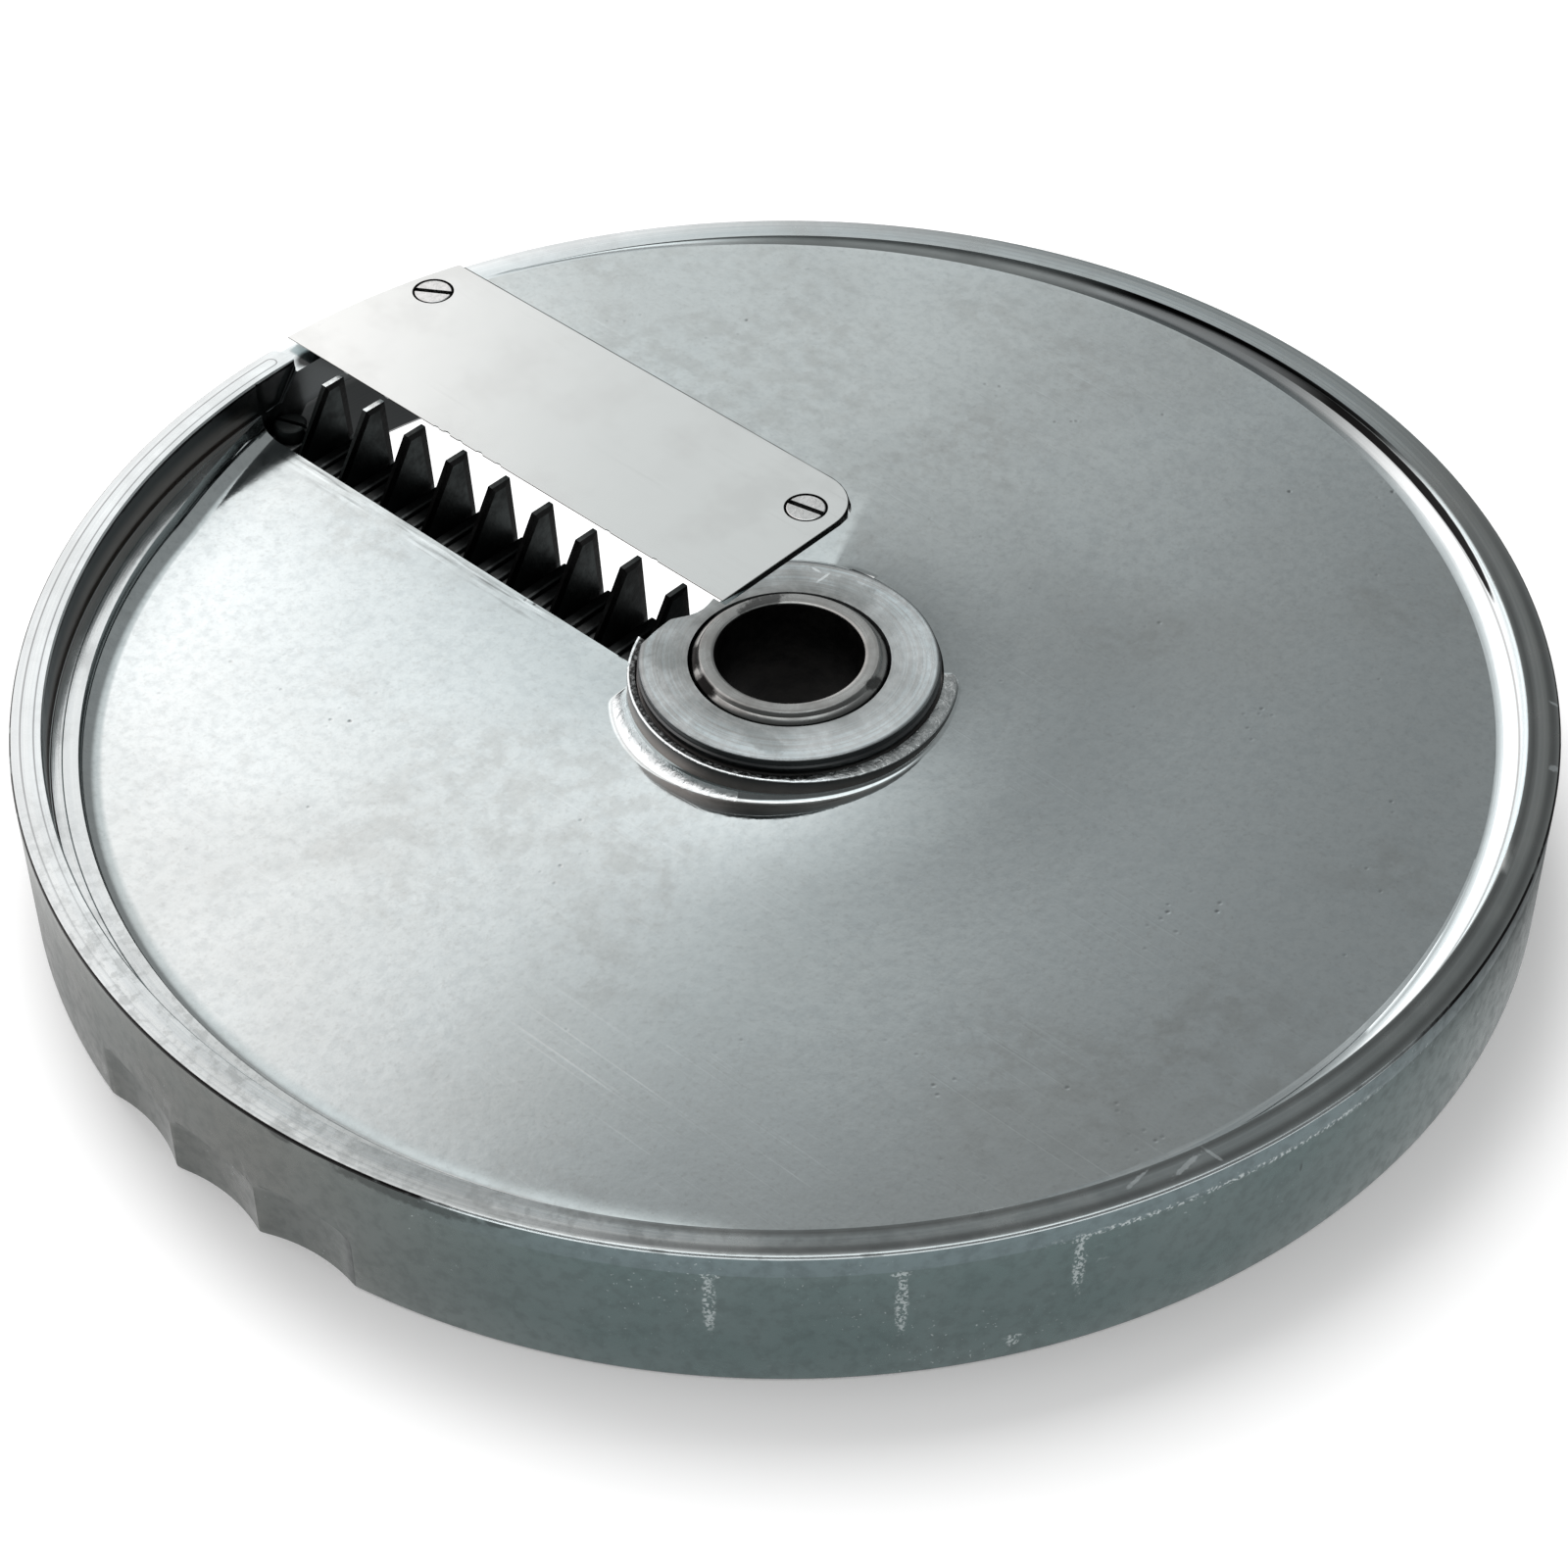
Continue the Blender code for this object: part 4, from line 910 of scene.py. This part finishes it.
# The screws' cast bosses, the slot, the comb's lugs inside it, the blade's seat, the screw holes
def cutCasting(casting):
    for side, radius in cuts["bosses"].items():
        cut(casting, rodAt(*bladeScrews[side], *cuts["bossEnds"], radius), 'UNION')
    cutOutline(casting, "slot")
    cutOutline(casting, "corner")
    for low, high in cuts["lugs"]:
        lug = boxAt(low, high)
        bevelWhere(lug, lambda edge: True, cuts["lugEdge"])
        cut(casting, lug, 'UNION')
    cutOutline(casting, "seat")
    for centre, low, high in ((bladeScrews["outer"], 10, above), (bladeScrews["inner"], 10, above),
                              (combScrew, 0, 4)):
        cut(casting, rodAt(*centre, low, high, cuts["screwHole"], 32))


scoop = {"angles": (80.9, 89.6, 98.0), "width": 14.4, "depth": 1.5, "height": 10.2, "round": 3.0}


# Three finger scoops in the skirt, each cut with a large rounded drum
def cutScoops(casting):
    radius, half, high = disc["radius"], scoop["width"] / 2, scoop["height"]
    deep = scoop["depth"] - (radius - math.sqrt(radius ** 2 - half ** 2))
    drum = (half ** 2 + deep ** 2) / (2 * deep)
    profile = [(0, high)] + [(drum - a, high - b) for a, b in rounded(scoop["round"], 7)]
    profile += [(drum, -1), (0, -1)]
    away = radius - scoop["depth"] + drum
    for angle in scoop["angles"]:
        turn = math.radians(angle)
        cut(casting, spun("scoop", profile, 180, (away * math.cos(turn), away * math.sin(turn))))


# The finish of a place on the casting, from where it is and which way it faces
def castFinish(centre, normal):
    radius = math.hypot(centre.x, centre.y)
    outward = (centre.x * normal.x + centre.y * normal.y) / radius
    turn = (-math.degrees(math.atan2(centre.y, centre.x))) % 360
    plate, ring = plateLevel(radius, turn), ringEdge(turn)
    inSlot = centre.x > 0 and -32 < centre.y < 7.9
    if radius > 94.6 and centre.z > top - 0.42 and 0.05 < normal.z < 0.96:
        return edgeFace
    if radius > 92.6 and outward > 0.5 and centre.z < top - 0.05:
        return skirtFace
    # walls in the slot, under the rim and beside the ring take the wall metal, which paints shade
    if radius > 88 and outward < -0.3 and inSlot and centre.z < top - 1.3:
        return wallFace
    if abs(centre.y - slotRear) < 0.1 and abs(normal.y) > 0.9:
        return wallFace
    if turn < disc["ringStart"] and 18.6 < radius < 21 and normal.z < 0.985 and centre.z > plate - 0.5:
        return wallFace
    if centre.z < plate - 2.6 or normal.z < -0.3:
        return underFace
    if radius < 18.75 and centre.z > top - 0.45 and normal.z > 0.3:
        return flangeFace
    proud = turn > disc["ringStart"] and radius < ring + 0.01
    broad = turn > 245 and radius < 23.85 and centre.z > plate + 0.04
    if (proud or broad) and radius > 18.95 and normal.z > 0.3:
        return ringFace
    if radius < ring + 0.05 and (abs(normal.z) < 0.5 or radius < 18.95) and centre.z < top - 0.2:
        return wallFace
    if radius < 18.95:
        return flangeFace
    if radius > 90.5 and normal.z < 0.6 and centre.z < top - 0.05 and turn > 170:
        return wallFace
    cove = plateDrop(radius, turn) > 4.95 or radius > disc["wallRadius"] - coveWidth(turn) - 0.05
    if radius > ledgeEdge(turn) - 0.08 and cove:
        return landFace
    return plateFace


casting = helicalCasting()
cutCasting(casting)
print("julienne disc: casting cut")
cutScoops(casting)
finishPiece(casting, "disc_casting", "disc_body", *castMetals, name="disc_casting")
for face in casting.data.polygons:
    face.material_index = castFinish(face.center / mm, face.normal)
smooth(casting, 32)
print("julienne disc: casting made, faces", len(casting.data.polygons))


bushForm = {"bore": 9.34, "boreRound": 0.41, "outer": 12.2, "topOuter": 11.2, "top": 21.9, "foot": 1.5,
            "break": 0.5}


def makeBush():
    bore, boreRound, outer, rim, high, foot, edge = bushForm.values()
    profile = [(bore + 0.26, high - 0.02), (bore + boreRound, high), (rim - 0.12, high), (rim, high - 0.06),
               (rim + 0.12, high - 0.2), (rim + 0.35, high - 0.55), (rim + 0.55, high - 0.62),
               (outer - 0.1, high - 0.95), (outer, high - 1.15), (outer, foot + edge), (outer - edge, foot),
               (bore + edge, foot), (bore, foot + edge), (bore, high - 0.3), (bore + 0.08, high - 0.12)]
    bush = spun("bush", profile, 144)
    finishPiece(bush, "hub_bush", "hub_bush", bushSteel, shadeSteel)
    # the bore takes the black steel, painted shade
    dress(bush, 1, lambda c, n: math.hypot(c.x, c.y) < bore + 0.2 and c.z < high - 0.3)
    smooth(bush, 25)


makeBush()
print("julienne disc: bush made")


bladeForm = {
    "inner": 13.6, "edge": -2.34, "rear": -30.04, "tip": 95.6, "thick": 1.2, "corner": 6.6, "ground": 7.0,
    "land": 0.15, "edgeBreak": 0.07, "sinkRadius": 2.9, "sinkCone": 1.45,
    "slotTurns": {"outer": 33.0, "inner": 12.5},
    # X and depth of each nick in the edge, cut with a round tool
    "nicks": ((54.2, 0.22), (57.8, 0.3), (61.5, 0.2), (64.1, 0.36), (66.0, 0.2), (34.0, 0.16), (25.5, 0.2)),
    "nickRadius": 0.55,
}


def makeBlade():
    b = bladeForm
    bpy.ops.mesh.primitive_cylinder_add(vertices=720, radius=b["tip"] * mm, depth=b["thick"] * mm,
                                        location=(0, 0, (top - b["thick"] / 2) * mm))
    blade = settle(bpy.context.object, "blade")
    trim(blade, (0, b["edge"], 0), (0, 1, 0))
    trim(blade, (0, b["rear"], 0), (0, -1, 0))
    trim(blade, (b["inner"], 0, 0), (-1, 0, 0))

    def isCorner(edge):
        return all(max(abs(p.x - b["inner"]), abs(p.y - b["rear"])) < 0.01 for p in edgeEnds(blade, edge))

    bevelWhere(blade, isCorner, b["corner"], 12)
    # The edge is ground on the underside, up to a narrow land
    fall = Vector((0, b["thick"] - b["land"], -b["ground"]))
    trim(blade, (0, b["edge"], top - b["land"]), fall.normalized())
    bevelWhere(blade, lambda edge: all(p.z > top - 0.01 for p in edgeEnds(blade, edge)), b["edgeBreak"])
    head, hole, shoulder, below = b["sinkRadius"], cuts["screwHole"], top - 0.3, 19
    profile = [(0, above), (head, above), (head, shoulder), (hole, shoulder - b["sinkCone"]), (hole, below),
               (0, below)]
    for centre in bladeScrews.values():
        cut(blade, spun("sink", profile, 64, centre))
    for x, deep in b["nicks"]:
        cut(blade, rodAt(x, b["edge"] + b["nickRadius"], below, above, b["nickRadius"] + deep, 12))
    finishPiece(blade, "blade", "slicing_blade", bladeSteel, bareSteelAndHighlight, shadeSteel)
    dress(blade, 1, lambda c, n: n.z < -0.2 and c.y > b["edge"] - b["ground"] + 0.1)
    # the blade's inner end and the faces under the screw heads take the black steel, painted shade
    dress(blade, 2, lambda c, n: n.z < 0.3 and n.x < -0.2 and c.x < b["inner"] + 4)
    for x, y in bladeScrews.values():
        dress(blade, 2, lambda c, n: math.hypot(c.x - x, c.y - y) < 3 and c.z < top - 0.02)
    smooth(blade, 15)


def makeBladeScrew(side):
    head, shank, deep = 2.6, 1.5, 8.0
    profile = [(0, top), (head - 0.15, top), (head - 0.05, top - 0.05), (head, top - 0.14), (head, top - 0.3),
               (shank, top - 1.6), (shank, top - deep + 0.4), (shank - 0.3, top - deep), (0, top - deep)]
    screw = spun("screw", profile, 64, bladeScrews[side])
    cut(screw, slotAt(*bladeScrews[side], bladeForm["slotTurns"][side], 6.4, 0.8, top - 0.75, above))
    finishPiece(screw, "blade_screws", "blade_screw_" + side, screwSteel, shadeSteel)
    # the slot takes the black steel, painted shade
    dress(screw, 1, lambda c, n: top - 0.8 < c.z < top - 0.1 and (n.z < 0.9 or c.z < top - 0.7))
    smooth(screw, 25)


makeBlade()
for side in bladeScrews:
    makeBladeScrew(side)
print("julienne disc: blade and screws made")


comb = {
    "count": 9, "first": 20.2, "pitch": 8.07, "rear": -3.2, "front": 7.4, "bottom": 3.9, "top": 9.614,
    "tip": 19.85, "edge": -2.34, "topLength": 3.2, "thick": 0.8, "border": 1.0, "spacer": 6.67,
    "tongues": 3, "tongueGap": 0.4, "tongueRise": 0.7, "rodLevel": 6.757, "rodHole": 1.79,
    "blocks": {"inner": (15.5, 19.5, 0, 0.4), "outer": (85.46, 90.0, 2.3, 0.35)},
}


# The hole for the comb's rod, through one piece
def cutRodHole(piece, middle, half):
    hole = rodAt(0, 0, -half, half, comb["rodHole"], 24)
    hole.rotation_euler.y = math.radians(90)
    hole.location = (middle * mm, 0, comb["rodLevel"] * mm)
    cut(piece, settle(hole, "hole"))


# Copies of a blank along the comb, a pitch apart; the blank goes
def repeat(blank, first, count):
    pieces = []
    for k in range(count):
        piece = blank.copy()
        piece.data = blank.data.copy()
        bpy.context.collection.objects.link(piece)
        piece.location.x = (first + k * comb["pitch"]) * mm
        pieces.append(piece)
    bpy.data.objects.remove(blank, do_unlink=True)
    return pieces


# One tooth blank at X = 0: a plate sliced to its leaning front and back, its sides ground down
# to thin borders round a flat middle
def makeToothBlank():
    rear, front, bottom, high = comb["rear"], comb["front"], comb["bottom"], comb["top"]
    tip, edge = comb["tip"], comb["edge"]
    tipFront = edge + comb["topLength"]
    half = comb["thick"] / 2
    tooth = boxAt((-half, rear, bottom), (half, front, tip))
    trim(tooth, (0, front, high), Vector((0, tip - high, front - tipFront)).normalized())
    trim(tooth, (0, rear, high), Vector((0, high - tip, edge - rear)).normalized())
    openMesh(tooth, 'DESELECT')
    selectWhere(tooth, lambda face: abs(face.normal.x) > 0.9)
    bpy.ops.mesh.inset(thickness=comb["border"] * mm, depth=0, use_individual=True)
    closeMesh()
    # the outer loops of both sides come in, so the borders slope to a thin edge
    for corner in tooth.data.vertices:
        y, z = corner.co.y / mm, corner.co.z / mm
        onFront = abs((y - front) * (tip - high) / (tipFront - front) - (z - high)) < 0.05
        onRear = y < edge + 0.03 - (tip - z) * 0.084 + 0.02
        if z > tip - 0.01:
            corner.co.x *= 0.95
        elif z > high - 0.01 and (onFront or onRear):
            corner.co.x *= 0.4
    return tooth


def makeTeeth():
    blank = makeToothBlank()
    cutRodHole(blank, 0, 2)
    for k, tooth in enumerate(repeat(blank, comb["first"], comb["count"])):
        middle = comb["first"] + k * comb["pitch"]
        finishPiece(tooth, "comb_teeth", "comb_tooth_%d" % (k + 1), toothSteel, toothGround, bareSteelAndHighlight)
        for face in tooth.data.polygons:
            if len(face.vertices) == 4 and face.center.z > comb["top"] * mm:
                face.material_index = 1
        # painted highlight: only the two outermost teeth are pale on top and show a lighter line down the
        # front
        lighter = k >= comb["count"] - 2
        dress(tooth, 2 if lighter else 0, lambda c, n: n.z > 0.9 and c.z > comb["tip"] - 0.05)
        dress(tooth, 0 if lighter else 1,
              lambda c, n: n.y > 0.5 and abs(c.x - middle) < 0.01 and c.z > comb["top"])
        smooth(tooth, 4)


# Spacer with three rounded tongues on top, drawn from the front and pulled back
def makeSpacers():
    half, high, bottom, front = comb["spacer"] / 2, comb["top"], comb["bottom"], comb["front"]
    gap, rise = comb["tongueGap"], comb["tongueRise"]
    tongue = (comb["spacer"] - gap * (comb["tongues"] - 1)) / comb["tongues"]
    outline = [(-half, bottom), (half, bottom)]
    for k in range(comb["tongues"]):
        right = half - k * (tongue + gap)
        left = right - tongue
        outline += [(right, high - rise), (right, high - 0.4), (right - 0.12, high - 0.15),
                    (right - 0.4, high), (left + 0.4, high), (left + 0.12, high - 0.15), (left, high - 0.4),
                    (left, high - rise)]
    blank = drawn("spacer", outline, 'Y', comb["rear"], front)

    def isTopFront(edge):
        return all(abs(p.y - front) < 0.001 and p.z > high - 0.814 for p in edgeEnds(blank, edge))

    bevelWhere(blank, isTopFront, 0.3)
    cutRodHole(blank, 0, 6)
    for k, spacer in enumerate(repeat(blank, comb["first"] + comb["pitch"] / 2, comb["count"] - 1)):
        finishPiece(spacer, "comb_base", "comb_spacer_%d" % (k + 1), combSteel)
        smooth(spacer, 25)


# End blocks; the outer one is taller, slopes down to the front and takes the screw
def makeBlocks():
    for side, (left, right, rise, size) in comb["blocks"].items():
        high = comb["top"] + rise
        block = boxAt((left, comb["rear"], comb["bottom"]), (right, comb["front"], high))
        if rise:
            trim(block, (0, 2.1, high), Vector((0, -1, 1)).normalized())
        bevelWhere(block, lambda edge: all(p.z > 9.6 for p in edgeEnds(block, edge)), size, 3)
        cutRodHole(block, 17.5 if side == "inner" else 88.0, 4)
        if side == "outer":
            cut(block, rodAt(*combScrew, 3, 13, cuts["screwHole"], 32))
        finishPiece(block, "comb_base", "comb_block_" + side, combSteel)
        smooth(block, 30)


def makeCombScrew():
    head, shank, foot, seat = 2.3, 1.5, 0.7, comb["top"] + 2.6
    high = seat + 2.0
    profile = [(0, high), (head - 0.6, high), (head - 0.3, high - 0.08), (head - 0.1, high - 0.25),
               (head, high - 0.5), (head, seat), (shank, seat), (shank, foot), (0, foot)]
    screw = spun("screw", profile, 48, combScrew)
    cut(screw, slotAt(*combScrew, 20, 6, 0.64, high - 0.7, high + 1))
    # the comb's screw takes the teeth's dark steel, painted shade
    finishPiece(screw, "comb_base", "comb_screw", toothSteel)
    smooth(screw, 25)


makeTeeth()
makeSpacers()
makeBlocks()
makeCombScrew()
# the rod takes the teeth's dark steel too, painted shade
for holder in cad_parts["comb_rod"].material_slots:
    holder.material = toothSteel
print("julienne disc: comb made")


studio = {
    "floorLevel": -0.05, "floorGlow": 0.25, "holeRadius": 92.0, "floorShade": 0.8,
    # metal sees the floor brightest at the left, dark at the right and dimmer near the disc
    "floorWay": (0.749, 0.663, 0), "floorLeft": (0.095, 0.112, 0.0, 1.1),
    "floorRight": (-0.114, -0.084, 0.12, 0.93), "floorNear": (95.0, 125.0, 0.75, 1.0),
    "lampPower": 16.0, "lampPlace": (0.70, -0.42, 1.3), "lampSize": 0.8,
    # each way is an azimuth and a height in degrees, each edge the cosines between which it fades
    "fieldWay": (0, 35), "fieldEdge": (0.60, 0.75), "fieldLight": 0.94, "fieldTint": (1.11, 1.0, 0.98, 1.0),
    "screenWay": (-80, 42), "screenEdge": (0.815, 0.89),
    "glowWay": (-44, 37.7), "glowEdge": (0.966, 1.054), "glowLight": 2.0,
    "roomWay": (132.75, 0), "roomEdge": (-0.35, 0.25), "room": 0.32, "roomFront": 0.12,
    "ceilingWay": (180, 82), "ceilingEdge": (0.86, 0.97), "ceilingLight": 1.3,
}
white = (1.0, 1.0, 1.0, 1.0)


def makeFloor():
    bpy.ops.mesh.primitive_plane_add(size=6, location=(0, 0, studio["floorLevel"] * mm))
    floor = bpy.context.object
    floor.name = "studio_floor"
    material, tree = newTree("floorWhite")
    shader = tree.nodes["Principled BSDF"]
    shader.inputs["Base Color"].default_value = (studio["floorShade"],) * 3 + (1.0,)
    shader.inputs["Roughness"].default_value = 1.0
    shader.inputs["Specular IOR Level"].default_value = 0.0
    shader.inputs["Emission Color"].default_value = white
    light = addNode(tree, "LightPath")
    radius = polar(tree)[0]
    isCamera = light.outputs["Is Camera Ray"]
    under = times(tree, maths(tree, 'LESS_THAN', radius, studio["holeRadius"]), isCamera)
    seen = larger(tree, isCamera, light.outputs["Is Transmission Ray"])
    plug(tree, shader.inputs["Emission Strength"], plus(tree, times(tree, seen, studio["floorGlow"]), under))
    along = dot(tree, objectPoint(tree), studio["floorWay"])
    mirrored = plus(tree, ramp(tree, along, *studio["floorRight"]), ramp(tree, along, *studio["floorLeft"]))
    glow = addNode(tree, "Emission")
    plug(tree, glow.inputs["Strength"], times(tree, mirrored, ramp(tree, radius, *studio["floorNear"])))
    both = addNode(tree, "MixShader")
    plug(tree, both.inputs[0], light.outputs["Is Glossy Ray"])
    tree.links.new(shader.outputs[0], both.inputs[1])
    tree.links.new(glow.outputs[0], both.inputs[2])
    tree.links.new(both.outputs[0], tree.nodes["Material Output"].inputs["Surface"])
    floor.data.materials.append(material)


# World: a broad soft bright field behind the disc's left, a bright ceiling, a dark room
# towards the viewer. The camera itself sees white.
def makeWorld():
    world = bpy.data.worlds.new("studioLight")
    bpy.context.scene.world = world
    world.use_nodes = True
    tree = world.node_tree
    back = tree.nodes["Background"]
    way = addNode(tree, "TexCoord").outputs["Generated"]

    def area(name, low=0.0, high=1.0):
        a, b = (math.radians(angle) for angle in studio[name + "Way"])
        facing = dot(tree, way, (math.cos(a) * math.cos(b), math.sin(a) * math.cos(b), math.sin(b)))
        return ramp(tree, facing, *studio[name + "Edge"], low, high)

    bright = times(tree, area("field"), area("screen", 1.0, 0.0), studio["fieldLight"])
    total = plus(tree, bright, area("glow", 0.0, studio["glowLight"]),
                 area("room", studio["room"], studio["roomFront"]),
                 area("ceiling", 0.0, studio["ceilingLight"]))
    light = addNode(tree, "LightPath")
    plain = addNode(tree, "Mix", data_type='FLOAT')
    for index, item in ((0, light.outputs["Is Camera Ray"]), (2, total), (3, 1.0)):
        plug(tree, plain.inputs[index], item)
    plug(tree, back.inputs["Strength"], plain.outputs[0])
    # the bright field has a tint of its own
    share = times(tree, maths(tree, 'DIVIDE', bright, total), light.outputs["Is Glossy Ray"])
    plug(tree, back.inputs["Color"], blendColour(tree, share, white, studio["fieldTint"]))


def makeLamp():
    data = bpy.data.lights.new("backLamp", 'AREA')
    data.energy = studio["lampPower"]
    data.size = studio["lampSize"]
    lamp = bpy.data.objects.new("backLamp", data)
    bpy.context.collection.objects.link(lamp)
    lamp.location = studio["lampPlace"]
    lamp.rotation_euler = (-lamp.location).to_track_quat('-Z', 'Y').to_euler()
    lamp.visible_glossy = False


view = {
    "place": (-0.2264917, 0.2450101, 0.3143562), "right": (-0.748777, -0.662578, 0.018010),
    "up": (0.464596, -0.505272, 0.727222), "back": (-0.472741, 0.552894, 0.686166),
    "lens": 82.269, "sensor": 36.0, "shift": -0.06805, "near": 0.01, "far": 20,
}


def makeCamera():
    data = bpy.data.cameras.new("viewpoint")
    camera = bpy.data.objects.new("viewpoint", data)
    bpy.context.collection.objects.link(camera)
    data.lens, data.sensor_width, data.shift_x = view["lens"], view["sensor"], view["shift"]
    data.clip_start, data.clip_end = view["near"], view["far"]
    turned = Matrix((view["right"], view["up"], view["back"])).transposed()
    camera.rotation_euler = turned.to_euler()
    camera.location = view["place"]
    bpy.context.scene.camera = camera


makeFloor()
makeWorld()
makeLamp()
makeCamera()
bpy.context.scene.view_settings.view_transform = 'Standard'
print("julienne disc: floor, light and camera made")
